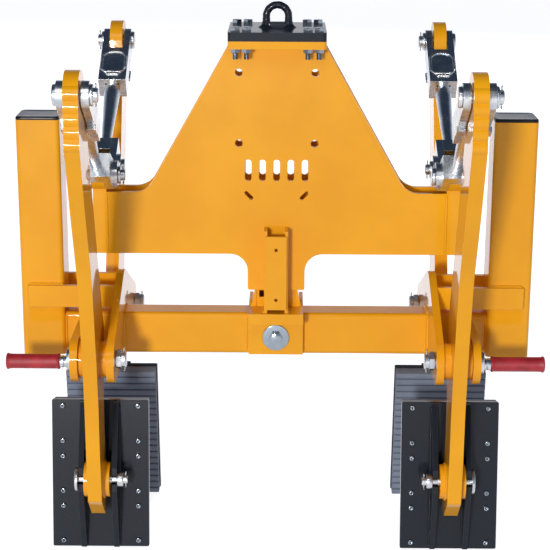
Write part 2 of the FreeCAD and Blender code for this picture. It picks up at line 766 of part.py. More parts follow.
def pivot_pins():
    pins = []
    nuts = []
    grips = []
    nut_face = f"({CHEEK_FACE} - cheek_thickness)"
    keeper_face = f"({OUTER_CHEEK_FACE} + keeper_thickness)"
    grip_face = f"({keeper_face} + collar_length)"
    for side, sign in SIDES:
        for end, way in ENDS:
            name = f"{side}_{end}_pivot"
            y = f"{way} * pivot_reach"
            tail = f"({nut_face} - nut_length - pin_tail)"
            spans = (
                ("shank", "pivot_radius", tail, OUTER_CHEEK_FACE, PIVOT),
                ("keeper", "keeper_radius", OUTER_CHEEK_FACE, keeper_face, PIVOT),
                ("collar", "collar_radius", keeper_face, grip_face, GRIP_AXIS),
                ("core", "grip_core_radius", grip_face,
                 f"({grip_face} + grip_length - grip_end_wall)", GRIP_AXIS),
            )
            pieces = [x_span(f"{name}_{label}", radius, low, high, sign, y, height)
                      for label, radius, low, high, height in spans]
            split = rod(f"{name}_split", "split_pin_radius", "2 * (pivot_radius + split_pin_overhang)")
            place(split, f"{sign} * ({tail} + pin_tail / 2)", y,
                  f"{PIVOT} - pivot_radius - split_pin_overhang")
            pins.append(fuse(f"{name}_pin", pieces + [split]))
            nut = hexagon(f"{name}_nut_blank", "(pivot_radius + nut_overhang)", "nut_length", "X")
            x = f"{nut_face} - nut_length" if sign > 0 else f"-{nut_face}"
            place(nut, x, y, PIVOT)
            bore = rod(f"{name}_nut_bore", "pivot_radius + running_clearance",
                       "nut_length + 2 * overrun", "X")
            place(bore, f"{x} - overrun", y, PIVOT)
            nuts.append(cut(f"{name}_nut", nut, [bore]))
            sleeve = x_span(f"{name}_sleeve", "grip_radius", grip_face, f"({grip_face} + grip_length)",
                            sign, y, GRIP_AXIS)
            hollow = x_span(f"{name}_hollow", "grip_core_radius + running_clearance",
                            f"({grip_face} - overrun)",
                            f"({grip_face} + grip_length - grip_end_wall + running_clearance)",
                            sign, y, GRIP_AXIS)
            grips.append(cut(f"{name}_grip", sleeve, [hollow]))
    keep("pivot_pins", group("all_pivot_pins", pins))
    keep("pivot_nuts", group("all_pivot_nuts", nuts))
    keep("grips", group("all_grips", grips))


def x_span(name, radius, low, high, sign, y, height):
    """A rod along X between two distances from the middle, on the side that sign names."""
    item = rod(name, radius, f"{high} - {low}", "X")
    return place(item, low if sign > 0 else f"-{high}", y, height)


# Arms

def arm_outline(way):
    """The arm's outline, with reach as x; way turns a front arm's reach to the front."""
    top = Vector(size.upper_pin_reach, size.upper_pin_height, 0)
    pivot = Vector(size.pivot_reach, pivot_level, 0)
    foot = Vector(size.pad_pin_reach, size.pad_pin_height, 0)
    width = size.arm_width

    def edge(start, end, shares, outward):
        return [(start.x + (end.x - start.x) * along_share + outward * width * out_share,
                 start.y + (end.y - start.y) * along_share, width * radius_share)
                for along_share, out_share, radius_share in shares]

    tilt = math.radians(size.pad_tilt)
    stop = size.carrier_offset / math.cos(tilt) - size.arm_tail_drop * math.tan(tilt) - size.side_play
    tail = foot.y - size.arm_tail_drop
    crown = size.arm_top_radius
    points = [(top.x + crown, top.y + crown, crown)]
    points += edge(top, pivot, ARM_UPPER_OUTER_SHARES, 1)
    points += edge(pivot, foot, ARM_LOWER_OUTER_SHARES, 1)
    shoulder_radius = size.arm_tail_width * ARM_TAIL_RADIUS_SHARE
    points += [(foot.x + size.arm_tail_shoulder_reach, foot.y - size.arm_tail_shoulder_drop, shoulder_radius),
               (foot.x - stop + size.arm_tail_width, tail, 0), (foot.x - stop, tail, 0)]
    points += edge(pivot, foot, ARM_LOWER_INNER_SHARES, -1)
    points += edge(top, pivot, ARM_UPPER_INNER_SHARES, -1)
    points += [(top.x - crown, top.y + crown, crown)]
    return rounded([(way * x, y, radius) for x, y, radius in points])


def arms():
    boss = "(cheek_gap - 2 * side_play)"
    heights = {"pivot": PIVOT, "pad_pin": "pad_pin_height", "upper_pin": "upper_pin_height"}
    for side, sign in SIDES:
        for end, way in ENDS:
            name = f"{end}_{side}_arm"
            x = f"{sign} * arm_offset"
            blank = plate(f"{name}_plate", "YZ_Plane", [arm_outline(way)], "arm_thickness")
            pieces = [place(blank, x, "0", "0")]
            for label, radius, length in (("pivot", "pivot_boss_radius", boss),
                                          ("pad_pin", "pad_boss_radius", "pad_boss_length")):
                ring = rod(f"{name}_{label}_boss", radius, length, "X")
                pieces.append(place(ring, f"{x} - {length} / 2", f"{way} * {label}_reach", heights[label]))
            for index in range(SCALLOP_COUNT):
                bump = rod(f"{name}_scallop_{index}", "scallop_radius", "arm_thickness", "X")
                y = f"{way} * (upper_pin_reach + arm_top_radius + scallop_rise - scallop_radius)"
                pieces.append(place(bump, f"{x} - arm_thickness / 2", y,
                                    f"upper_pin_height + scallop_lead - {index} * scallop_pitch"))
            bores = []
            for label, radius in (("pivot", "pivot_radius + running_clearance"),
                                  ("pad_pin", "pad_pin_radius + running_clearance"),
                                  ("upper_pin", "upper_pin_radius + open_slack")):
                bore = rod(f"{name}_{label}_bore", radius, f"{boss} + 2 * overrun", "X")
                bores.append(place(bore, f"{x} - {boss} / 2 - overrun",
                                   f"{way} * {label}_reach", heights[label]))
            keep(name, cut(name, fuse(f"{name}_blank", pieces), bores))


# Links, built lying along +Y from the lug pin and then turned up to the arm's upper pin

LINK_LENGTH = ("sqrt((upper_pin_reach - lug_pin_reach)^2"
               f" + (upper_pin_height - {LUG_PIN})^2)")


def link_pose():
    run = size.upper_pin_reach - size.lug_pin_reach
    rise = size.upper_pin_height - lug_pin_level
    return math.hypot(run, rise), math.degrees(math.atan2(rise, run))


def link_shape(name, length):
    """A channel with its web on top holds the arm's end, and a horn runs from it to the lug's fork."""
    ear = size.link_ear_radius
    wall_end = length - size.link_ear_reach
    ear_outline = rounded([(length + ear, -ear, ear), (length + ear, ear, ear), (wall_end, ear, 0),
                           (wall_end, -ear, size.link_ear_corner)])
    foot = size.lug_ear_radius
    foot_end = size.link_foot_reach
    foot_outline = rounded([(-foot, -foot, foot), (foot_end, -foot, 0), (foot_end, size.link_foot_rise, 0),
                            (size.link_foot_crest, foot, 0), (-foot, foot, foot)])
    pieces = []
    foot_slot = "(lug_thickness + 2 * side_play)"
    ear_slot = "(arm_thickness + 2 * link_slot_play)"
    for side, sign in SIDES:
        upper = plate(f"{name}_{side}_ear", "YZ_Plane",
                      [ear_outline, circle(length, 0, size.upper_pin_radius + size.running_clearance)],
                      "link_ear_thickness")
        bind(upper, "Placement.Base.x", f"{sign} * ({ear_slot} + link_ear_thickness) / 2")
        lower = plate(f"{name}_{side}_foot", "YZ_Plane",
                      [foot_outline, circle(0, 0, size.lug_pin_radius + size.running_clearance)],
                      "link_foot_thickness")
        bind(lower, "Placement.Base.x", f"{sign} * ({foot_slot} + link_foot_thickness) / 2")
        boss = plate(f"{name}_{side}_foot_boss", "YZ_Plane",
                     [circle(0, 0, foot), circle(0, 0, size.lug_pin_radius + size.running_clearance)],
                     "link_foot_boss_length")
        bind(boss, "Placement.Base.x",
             f"{sign} * ({foot_slot} + 2 * link_foot_thickness + link_foot_boss_length) / 2")
        strap = box(f"{name}_{side}_strap", "link_ear_thickness + link_strap_overhang", "link_strap_length",
                    "link_strap_drop")
        reach = "" if sign > 0 else " - link_ear_thickness - link_strap_overhang"
        bind(strap, "Placement.Base.x", f"{sign} * {ear_slot} / 2{reach}")
        bind(strap, "Placement.Base.y", f"{LINK_LENGTH} - link_strap_start - link_strap_length")
        bind(strap, "Placement.Base.z", "-link_ear_radius - link_strap_drop")
        pieces += [upper, lower, boss, strap]
    block_low = f"{LINK_LENGTH} - link_block_start - link_block_length"
    foot_start = "link_foot_reach - link_foot_block_length"
    bars = (
        ("web", ear_slot, "link_ear_reach - link_web_start", "link_web_thickness",
         f"{LINK_LENGTH} - link_ear_reach", "link_ear_radius - link_web_thickness"),
        ("block", ear_slot, "link_block_length", "link_shank_radius + link_ear_radius",
         block_low, "-link_shank_radius"),
        ("foot_block", foot_slot, "link_foot_block_length", "lug_ear_radius + link_foot_rise",
         foot_start, "-lug_ear_radius"),
    )
    for label, across, run, rise, y, z in bars:
        bar = box(f"{name}_{label}", across, run, rise)
        for axis, text in (("x", f"-{across} / 2"), ("y", y), ("z", z)):
            bind(bar, f"Placement.Base.{axis}", text)
        pieces.append(bar)
    start = "(link_foot_reach - link_foot_block_length / 2)"
    shank = cone(f"{name}_shank", "link_shank_low_radius", "link_shank_radius",
                 f"{block_low} + link_block_length / 2 - {start}", "Y")
    bind(shank, "Placement.Base.y", start)
    return fuse(name, pieces + [shank])


def links():
    length, rise = link_pose()
    for side, sign in SIDES:
        for end, way in ENDS:
            name = f"{end}_{side}_link"
            link = link_shape(name, length)
            # a rear link lies along +Y as built, and a front link is turned half round
            up = FreeCAD.Rotation(Vector(1, 0, 0), rise)
            about = FreeCAD.Rotation(Vector(0, 0, 1), 0 if way > 0 else HALF_TURN)
            link.Placement.Rotation = about.multiply(up)
            keep(name, place(link, f"{sign} * arm_offset", f"{way} * lug_pin_reach", LUG_PIN))
            grip = "arm_thickness + 2 * (link_slot_play + link_ear_thickness + side_play)"
            pin = headed_pin(f"{end}_{side}_upper_pin", way, "upper_pin_radius",
                             "(upper_pin_radius + pin_head_overhang)", "pin_head_height", grip,
                             "(upper_pin_radius + pin_ring_overhang)", "pin_ring_length")
            keep(f"{end}_{side}_link_pin",
                 place(pin, f"{sign} * arm_offset", f"{way} * upper_pin_reach", "upper_pin_height"))


# Pads, built upright about the pad pin with the rubber towards +Y

def pad_carrier(name):
    half_x = size.pad_width / 2
    outline = rectangle(half_x, size.pad_length / 2, size.body_corner_radius)
    holes = [circle(x, z, size.pad_screw_radius + size.running_clearance) for x, z in pad_screw_spots()]
    back = plate(f"{name}_plate", "XZ_Plane", [outline] + holes, "carrier_thickness")
    bind(back, "Placement.Base.y", "carrier_offset + carrier_thickness / 2")
    rib_half = size.pad_length / 2 - size.rib_end_inset
    back_half = size.rib_back_length / 2
    reach = size.rib_back_reach
    edge = size.carrier_offset - size.rib_end_depth
    seat = size.pad_pin_radius + size.running_clearance
    upper = [Vector(0, seat, 0), Vector(-reach, seat, 0), Vector(-reach, back_half, 0),
             Vector(edge, rib_half, 0), Vector(size.carrier_offset, rib_half, 0)]
    path = upper + [Vector(point.x, -point.y, 0) for point in reversed(upper)]
    # the pin lies in a half-round seat that is open to the outside
    rib_outline = [Part.LineSegment(start, end) for start, end in zip(path, path[1:])]
    rib_outline.append(Part.Arc(path[-1], Vector(seat, 0, 0), path[0]))
    pieces = [back]
    for side, sign in SIDES:
        rib = plate(f"{name}_{side}_rib", "YZ_Plane",
                    [rib_outline], "rib_thickness")
        bind(rib, "Placement.Base.x", f"{sign} * (cheek_gap + rib_thickness) / 2")
        pieces.append(rib)
    return fuse(f"{name}_whole", pieces)


def pad_screw_spots():
    x = size.pad_width / 2 - size.pad_screw_side_inset
    return [(across * x, up * share * size.pad_length)
            for across in (-1, 1) for share in PAD_SCREW_SHARES for up in (-1, 1)]


def pad_rubber(name):
    """The rubber's section, with a groove cut between each two ribs of its face."""
    back = size.carrier_offset + size.carrier_thickness
    face = back + size.rubber_thickness
    half = size.pad_length / 2 - size.rubber_inset
    count = int(2 * half / size.groove_pitch)
    floor = face - size.groove_depth
    points = [(back, -half), (face, -half)]
    for index in range(count):
        z = (index - (count - 1) / 2) * size.groove_pitch
        points += [(face, z - size.groove_width / 2), (floor, z - size.groove_width / 2),
                   (floor, z + size.groove_width / 2), (face, z + size.groove_width / 2)]
    points += [(face, half), (back, half)]
    outline = rounded([(y, z, 0) for y, z in points])
    return plate(f"{name}_block", "YZ_Plane", [outline], "pad_width - 2 * rubber_inset")


def pad_screws(name):
    screws = []
    for index, (x, z) in enumerate(pad_screw_spots(), 1):
        shank = rod(f"{name}_shank_{index}", "pad_screw_radius", "carrier_thickness", "Y")
        shank.Placement.Base = Vector(x, size.carrier_offset, z)
        head = rod(f"{name}_head_{index}", "pad_screw_head_radius", "pad_screw_head_height", "Y")
        head.Placement.Base = Vector(x, size.carrier_offset - size.pad_screw_head_height, z)
        screws.append(fuse(f"{name}_{index}", [shank, head]))
    return group(f"{name}_set", screws)


def pads():
    for side, sign in SIDES:
        for end, way in ENDS:
            name = f"{end}_{side}_pad"
            # a front pad faces +Y as built, and a rear pad is turned half round
            outward = sign if way < 0 else -sign
            grip = "cheek_gap + 2 * (rib_thickness + side_play)"
            pin = headed_pin(f"{name}_pin_set", outward, "pad_pin_radius", "pad_pin_head_radius",
                             "pad_pin_head_height", grip, "(pad_pin_radius + pad_nut_overhang)",
                             "nut_length")
            pieces = ((f"{name}_carrier", pad_carrier(f"{name}_carrier")),
                      (f"{name}_rubber", pad_rubber(f"{name}_rubber")),
                      (f"{name}_screws", pad_screws(f"{name}_screw")),
                      (f"{name}_pin", pin))
            about = FreeCAD.Rotation(Vector(0, 0, 1), 0 if way < 0 else HALF_TURN)
            lean = FreeCAD.Rotation(Vector(1, 0, 0), -size.pad_tilt)
            for node, item in pieces:
                item.Placement.Rotation = about.multiply(lean)
                keep(node, place(item, f"{sign} * arm_offset", f"{way} * pad_pin_reach", "pad_pin_height"))


lifting_eye()
top_plates()
top_bolts()
side_plates()
link_lugs()
beam_and_uprights()
cheeks()
braces()
saddle()
saddle_bolt()
guides()
guide_post()
pivot_pins()
arms()
links()
pads()
doc.recompute()

faults = [item.Name for item in doc.Objects if {"Invalid", "Error"} & set(item.State)]
for node, item in subparts.items():
    if item.Shape.isNull() or not item.Shape.isValid():
        faults.append(node)
if faults:
    raise RuntimeError("not built: " + ", ".join(faults))

os.makedirs("parts", exist_ok=True)
for node, item in subparts.items():
    item.Shape.exportStep(f"parts/{node}.step")
print(len(subparts), "sub-parts written")
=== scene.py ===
import bpy
import bmesh
import json
import math
import numpy as np
from mathutils import Matrix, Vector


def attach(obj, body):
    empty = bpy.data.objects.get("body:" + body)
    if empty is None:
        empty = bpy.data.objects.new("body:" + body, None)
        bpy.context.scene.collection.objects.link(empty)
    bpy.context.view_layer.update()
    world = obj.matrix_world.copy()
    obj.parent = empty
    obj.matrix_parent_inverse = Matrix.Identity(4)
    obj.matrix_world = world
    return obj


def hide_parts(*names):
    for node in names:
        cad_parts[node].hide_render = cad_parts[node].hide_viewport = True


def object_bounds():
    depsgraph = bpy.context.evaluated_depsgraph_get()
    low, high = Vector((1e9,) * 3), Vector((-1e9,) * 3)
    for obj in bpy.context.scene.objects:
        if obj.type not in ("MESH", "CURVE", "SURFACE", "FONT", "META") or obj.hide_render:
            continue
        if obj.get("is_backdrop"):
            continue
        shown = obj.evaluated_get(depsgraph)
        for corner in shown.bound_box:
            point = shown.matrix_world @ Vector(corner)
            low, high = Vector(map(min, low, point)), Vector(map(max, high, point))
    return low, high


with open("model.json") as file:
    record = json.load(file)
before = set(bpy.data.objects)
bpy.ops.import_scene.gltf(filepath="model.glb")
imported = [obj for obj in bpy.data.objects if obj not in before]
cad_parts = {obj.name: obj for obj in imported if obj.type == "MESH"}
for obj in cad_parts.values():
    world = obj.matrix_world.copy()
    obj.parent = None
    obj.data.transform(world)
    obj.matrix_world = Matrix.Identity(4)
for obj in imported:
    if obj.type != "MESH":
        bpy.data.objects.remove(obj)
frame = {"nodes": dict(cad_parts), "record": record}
cadLow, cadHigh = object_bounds()
nodes = frame["nodes"]
print("frame loaded with", len(nodes), "nodes")

mm = 0.001
eyeHeight = 971.0  # mm from the zero of all heights here up to the origin in the eye
wayOf = {"front": -1.0, "rear": 1.0}
signOf = {"left": -1.0, "right": 1.0}
corners = [(end, side) for end in wayOf for side in signOf]
xAxis, yAxis, zAxis = still = np.eye(3)
fullTurn = 2 * math.pi
joinWithin, sliver = 2e-6, 1e-7  # metres: points this close are joined, and shorter edges dropped


# mesh work: every shell is a grid of points in mm, with heights from near the pads' lower ends

# a grid's points and its quads, row by row; the last column joins the first
def shell(grid):
    rows, cols = grid.shape[:2]
    r = np.arange(rows - 1)[:, None]
    c = np.arange(cols)[None, :]
    n = (c + 1) % cols
    quads = np.stack([r * cols + c, r * cols + n, (r + 1) * cols + n, (r + 1) * cols + c], -1)
    return grid.reshape(-1, 3), quads.reshape(-1, 4)


# a shell turned by a 3x3 matrix and carried to a point
def moved(part, turnBy, to):
    return part[0] @ np.asarray(turnBy).T + np.asarray(to), part[1]


def turnAbout(axis, degrees):
    return np.array(Matrix.Rotation(math.radians(degrees), 3, axis))


def roundAngles(count):
    return np.linspace(0, fullTurn, count, endpoint=False)


# the signed power that squares off a circle or a sphere
def signedPower(values, power):
    return np.sign(values) * np.abs(values) ** power


# two directions square to an axis
def across(axis):
    axis = np.asarray(axis, float)
    first = np.cross(axis, xAxis if abs(axis[0]) < 0.9 else zAxis)
    first /= np.linalg.norm(first)
    return first, np.cross(axis, first)


def addPiece(name, shells, body, slot, replaces=(), sharp=35):
    starts = np.cumsum([0] + [len(points) for points, quads in shells])
    points = np.vstack([points for points, quads in shells]) * mm
    points[:, 2] -= eyeHeight * mm
    quads = np.vstack([quads + start for (p, quads), start in zip(shells, starts)])
    mesh = bpy.data.meshes.new(name)
    mesh.from_pydata(points.tolist(), [], quads.tolist())
    work = bmesh.new()
    work.from_mesh(mesh)
    bmesh.ops.remove_doubles(work, verts=work.verts, dist=joinWithin)
    bmesh.ops.dissolve_degenerate(work, dist=sliver, edges=work.edges)
    bmesh.ops.recalc_face_normals(work, faces=work.faces)
    work.to_mesh(mesh)
    work.free()
    mesh.polygons.foreach_set("use_smooth", np.ones(len(mesh.polygons), bool))
    mesh.set_sharp_from_angle(angle=math.radians(sharp))
    mesh.materials.append(looks[slot])
    piece = bpy.data.objects.new(name, mesh)
    bpy.context.scene.collection.objects.link(piece)
    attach(piece, body)
    if replaces:
        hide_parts(*replaces)


# rows turned about an axis: centre + axis * along + radius * (cos, sin) across it
def spun(along, radius, angle, centre, axis):
    first, second = across(axis)
    ring = np.cos(angle)[:, None] * first + np.sin(angle)[:, None] * second
    return shell(np.asarray(centre, float) + along[..., None] * np.asarray(axis, float)
                 + radius[..., None] * ring)


# a profile of (along, radius) turned about an axis
def lathe(profile, centre, axis, count=40):
    profile = np.asarray(profile, float)
    return spun(profile[:, :1], profile[:, 1:], roundAngles(count), centre, axis)


# a quarter round between two lathe points, as (along, radius) rows
def rounding(start, end, corner, steps=5):
    t = np.linspace(0, math.pi / 2, steps)[:, None]
    start, end, corner = (np.asarray(p, float) for p in (start, end, corner))
    return corner + (start - corner) * (1 - np.sin(t)) + (end - corner) * (1 - np.cos(t))


# a tube along a flat path: each ring lies across the path, and the ends close to a point
def tube(path, normal, radius, sides=10):
    path = np.asarray(path, float)
    ahead = np.gradient(path, axis=0)
    ahead /= np.linalg.norm(ahead, axis=1)[:, None]
    normal = np.asarray(normal, float)
    beside = np.cross(ahead, normal)
    angle = roundAngles(sides)
    radius = np.broadcast_to(np.asarray(radius, float), len(path))[:, None, None]
    ring = np.cos(angle)[:, None] * normal + np.sin(angle)[:, None] * beside[:, None]
    ends = [np.repeat(path[i][None, None], sides, 1) for i in (0, -1)]
    return shell(np.concatenate([ends[0], path[:, None] + radius * ring, ends[1]]))


# a chamfered hexagon: radius = half the flats / cos(angle from the nearest flat's middle), and outside
# the chamfer circle its faces fall away at the chamfer angle
hexForm = {"circleShare": 0.95, "fallAngle": 30.0}


def hexagon(centre, axis, low, high, flats, hole=0.0, bothEnds=False, turn=0.0, count=48):
    angle = roundAngles(count)
    sixth = math.pi / 3
    edge = flats / 2 / np.cos((angle + sixth / 2 + turn) % sixth - sixth / 2)
    circle = np.full(count, flats / 2 * hexForm["circleShare"])
    fall = np.maximum(0, edge - circle) * math.tan(math.radians(hexForm["fallAngle"]))
    lowFall = fall if bothEnds else 0 * fall
    flat = np.zeros(count)
    radius = np.stack([flat + hole, circle, edge, edge, circle, flat + hole])
    along = np.stack([flat + low, flat + low, low + lowFall, high - fall, flat + high, flat + high])
    if hole:
        radius, along = (np.vstack([rows, rows[:1]]) for rows in (radius, along))
    return spun(along, radius, angle, centre, axis)


# a screw thread: radius falls from the crest by a triangle wave of (along / pitch - angle / turn), and its
# ends taper to the core
threadForm = {"depthShare": 0.55, "rowsPerPitch": 8, "leastRows": 8, "endTaper": 0.35}


def thread(centre, axis, low, high, crest, pitch, count=24):
    angle = roundAngles(count)
    rows = max(threadForm["leastRows"], int((high - low) / pitch * threadForm["rowsPerPitch"]))
    along = np.linspace(low, high, rows)[:, None]
    wave = np.abs(((along / pitch - angle / fullTurn) % 1) * 2 - 1)
    taper = np.clip(np.minimum(along - low, high - along) / pitch + threadForm["endTaper"], 0, 1)
    radius = crest - threadForm["depthShare"] * pitch * np.maximum(wave, 1 - taper)
    along = np.concatenate([along[:1], along, along[-1:]])
    radius = np.concatenate([0 * radius[:1], radius, 0 * radius[-1:]])
    return spun(along, radius, angle, centre, axis)


# a weld bead: a round section carried along a path, whose size ripples with the run less the section
# angle squared, so that each ripple is a crescent, and falls to nothing at both ends; outward is one
# direction, or one for each point of the path
beadForm = {"rowsPerRipple": 5, "leastRows": 8, "ripple": 0.11, "crescent": 0.16, "wander": 0.08,
            "wanderRate": 0.37}


def bead(path, outward, size, pitch=3.2, sides=10):
    f = beadForm
    path = np.asarray(path, float)
    outward = np.broadcast_to(np.asarray(outward, float), path.shape)
    lengths = np.concatenate([[0], np.cumsum(np.linalg.norm(np.diff(path, axis=0), axis=1))])
    run = np.linspace(0, lengths[-1], max(f["leastRows"], int(lengths[-1] / pitch * f["rowsPerRipple"])))
    line, outward = (np.stack([np.interp(run, lengths, rows[:, k]) for k in range(3)], -1)
                     for rows in (path, outward))
    ahead = np.gradient(line, axis=0)
    ahead /= np.linalg.norm(ahead, axis=1)[:, None]
    outward = outward - ahead * np.sum(outward * ahead, 1)[:, None]
    outward /= np.linalg.norm(outward, axis=1)[:, None]
    beside = np.cross(ahead, outward)
    angle = np.linspace(-math.pi, math.pi, sides, endpoint=False)
    ripple = 1 + f["ripple"] * np.sin(fullTurn * (run[:, None] / pitch - f["crescent"] * angle ** 2))
    ends = np.sqrt(np.clip(np.minimum(run, run[-1] - run) / pitch, 0, 1))[:, None]
    wander = 1 + f["wander"] * np.sin(run * f["wanderRate"])[:, None]
    radius = size * ripple * ends * wander
    ring = np.cos(angle)[:, None] * outward[:, None] + np.sin(angle)[:, None] * beside[:, None]
    return shell(line[:, None] + radius[..., None] * ring)


# finishes

class Wire:
    # one socket of a material's tree; sums on it add Math nodes
    def __init__(self, tree, socket=None):
        self.tree, self.socket = tree, socket

    def node(self, kind, settings=None, sockets=None, out=0):
        made = self.tree.nodes.new(kind)
        for key, value in (settings or {}).items():
            setattr(made, key, value)
        for key, value in (sockets or {}).items():
            if isinstance(value, Wire):
                self.tree.links.new(value.socket, made.inputs[key])
            else:
                made.inputs[key].default_value = value
        return Wire(self.tree, made.outputs[out] if len(made.outputs) else None)

    def sum(self, operation, first, second):
        return self.node("ShaderNodeMath", {"operation": operation}, {0: first, 1: second})

    def __add__(self, other):
        return self.sum("ADD", self, other)

    def __radd__(self, other):
        return self.sum("ADD", other, self)

    def __rsub__(self, other):
        return self.sum("SUBTRACT", other, self)

    def __mul__(self, other):
        return self.sum("MULTIPLY", self, other)

    def __rmul__(self, other):
        return self.sum("MULTIPLY", other, self)

    # 0 below low, 1 above high, with a soft step between
    def step(self, low, high):
        return self.node("ShaderNodeMapRange", {"interpolation_type": "SMOOTHSTEP"},
                         {"Value": self, "From Min": low, "From Max": high})

    # a mix of two colours with this value as its factor
    def mix(self, first, second):
        return self.node("ShaderNodeMix", {"data_type": "RGBA"}, {0: self, 6: first, 7: second}, 2)


def rgb(red, green, blue):
    return (red, green, blue, 1.0)


# the usual parts of a finish: object coordinates, clouds of a given size in mm, the rounded normal of the
# edges, and a mask of those edges from how far it leaves the face's own normal, where a painted highlight goes
surfaceForm = {"cloudRoughness": 0.55, "bevelSamples": 4, "edgeStep": (0.01, 0.16)}


class Surface:
    def __init__(self, name):
        self.material = bpy.data.materials.new(name)
        self.material.use_nodes = True
        self.material.node_tree.nodes.clear()
        self.wire = Wire(self.material.node_tree)
        self.place = self.wire.node("ShaderNodeTexCoord", out="Object")

    def cloud(self, sizeMm, detail=3.0, stretch=(1, 1, 1)):
        at = self.wire.node("ShaderNodeMapping", {}, {"Vector": self.place, "Scale": stretch})
        return self.wire.node("ShaderNodeTexNoise", {},
                              {"Vector": at, "Scale": 1 / (sizeMm * mm), "Detail": detail,
                               "Roughness": surfaceForm["cloudRoughness"]})

    # a least value and a share of a cloud above it
    def rough(self, least, share, sizeMm, detail=3.0):
        return least + share * self.cloud(sizeMm, detail)

    def rounded(self, radiusMm):
        return self.wire.node("ShaderNodeBevel", {"samples": surfaceForm["bevelSamples"]},
                              {"Radius": radiusMm * mm})

    # the edges' mask, through which the finishes mix in a lighter colour as a painted highlight
    def edges(self, roundedNormal):
        face = self.wire.node("ShaderNodeNewGeometry", out="Normal")
        same = self.wire.node("ShaderNodeVectorMath", {"operation": "DOT_PRODUCT"},
                              {0: face, 1: roundedNormal}, "Value")
        return (1 - same).step(*surfaceForm["edgeStep"])

    def finish(self, roundedNormal=None, height=None, bumpMm=0.1, bump=0.5, **sockets):
        if height is not None:
            parts = {"Height": height, "Strength": bump, "Distance": bumpMm * mm}
            if roundedNormal is not None:
                parts["Normal"] = roundedNormal
            sockets["Normal"] = self.wire.node("ShaderNodeBump", {}, parts)
        shader = self.wire.node("ShaderNodeBsdfPrincipled", {},
                                {key.replace("_", " "): value for key, value in sockets.items()})
        self.wire.node("ShaderNodeOutputMaterial", {}, {"Surface": shader})
        return self.material


# in the finishes a cloud is (mm, detail), rough is (least, share, mm, detail), and bump is (mm, strength)
toneStep = (0.3, 0.7)
# the paint's edge colour is a painted highlight, a lighter orange laid along the edges
paint = {"deep": rgb(0.83, 0.350, 0.005), "light": rgb(0.90, 0.395, 0.007), "edge": rgb(0.97, 0.52, 0.06),
         "edgeMm": 1.2, "edgeHighlightShare": 0.35, "cloud": (160, 3.0), "peel": (1.4, 2.0), "bump": (0.04, 0.25),
         "rough": (0.34, 0.14, 45, 3.0),
         "gloss": {"Specular_IOR_Level": 0.08, "Coat_Weight": 1.0, "Coat_IOR": 1.26, "Coat_Roughness": 0.04}}


def yellowPaint():
    s = Surface("yellowPaint")
    soft = s.rounded(paint["edgeMm"])
    tone = s.cloud(*paint["cloud"]).step(*toneStep).mix(paint["deep"], paint["light"])
    # a lighter orange mixed in along the edges: a painted highlight
    colour = (s.edges(soft) * paint["edgeHighlightShare"]).mix(tone, paint["edge"])
    return s.finish(soft, s.cloud(*paint["peel"]), *paint["bump"], Base_Color=colour,
                    Roughness=s.rough(*paint["rough"]), **paint["gloss"])


# the coat's edge colour is a painted highlight, a pale bluish line laid along the edges
coat = {"deep": rgb(0.006, 0.008, 0.013), "light": rgb(0.014, 0.019, 0.029), "edge": rgb(0.14, 0.155, 0.19),
        "edgeMm": 0.9, "edgeHighlightShare": 0.5, "grain": (0.9, 2.0), "grainStep": (0.35, 0.7), "bump": (0.12, 0.5),
        "rough": (0.30, 0.16, 30, 3.0),
        "gloss": {"Specular_IOR_Level": 0.10, "Coat_Weight": 0.6, "Coat_IOR": 1.3, "Coat_Roughness": 0.05}}


def blackCoat():
    s = Surface("blackCoat")
    soft = s.rounded(coat["edgeMm"])
    grain = s.cloud(*coat["grain"])
    tone = grain.step(*coat["grainStep"]).mix(coat["deep"], coat["light"])
    # a pale bluish colour mixed in along the edges: a painted highlight
    colour = (s.edges(soft) * coat["edgeHighlightShare"]).mix(tone, coat["edge"])
    return s.finish(soft, grain, *coat["bump"], Base_Color=colour, Roughness=s.rough(*coat["rough"]),
                    **coat["gloss"])


# the zinc's edge colour is a painted highlight, a near white laid along the edges
zinc = {"blue": rgb(0.44, 0.48, 0.54), "warm": rgb(0.64, 0.64, 0.62), "edge": rgb(0.85, 0.86, 0.87),
        "edgeMm": 1.0, "edgeHighlightShare": 0.6, "cloud": (26, 5.0), "flow": (11, 2.0), "flowShare": 0.8,
        "streak": (1.5, 2.0, (1, 0.06, 1)), "streakShare": 0.2, "bump": (0.35, 0.6),
        "rough": (0.16, 0.22, 18, 5.0)}


def zincPlate():
    s = Surface("zincPlate")
    soft = s.rounded(zinc["edgeMm"])
    tone = s.cloud(*zinc["cloud"]).step(*toneStep).mix(zinc["blue"], zinc["warm"])
    flow = zinc["flowShare"] * s.cloud(*zinc["flow"]) + zinc["streakShare"] * s.cloud(*zinc["streak"])
    # a near white mixed in along the edges: a painted highlight
    colour = (s.edges(soft) * zinc["edgeHighlightShare"]).mix(tone, zinc["edge"])
    return s.finish(soft, flow, *zinc["bump"], Base_Color=colour, Metallic=1.0,
                    Roughness=s.rough(*zinc["rough"]))


bright = {"cool": rgb(0.23, 0.28, 0.34), "warm": rgb(0.37, 0.40, 0.43), "cloud": (9, 4.0), "grain": (0.5, 2.0),
          "bump": (0.03, 0.3), "rough": (0.10, 0.14, 8, 4.0)}


def brightZinc():
    s = Surface("brightZinc")
    tone = s.cloud(*bright["cloud"]).mix(bright["cool"], bright["warm"])
    return s.finish(None, s.cloud(*bright["grain"]), *bright["bump"], Base_Color=tone, Metallic=1.0,
                    Roughness=s.rough(*bright["rough"]))


rubber = {"deep": rgb(0.150, 0.175, 0.225), "light": rgb(0.225, 0.258, 0.325), "bloom": (60, 5.0),
          "bloomShare": 0.6, "grain": (0.8, 3.0), "grainShare": 0.4, "bump": (0.15, 0.5),
          "rough": (0.66, 0.2, 20, 3.0), "specular": 0.35}


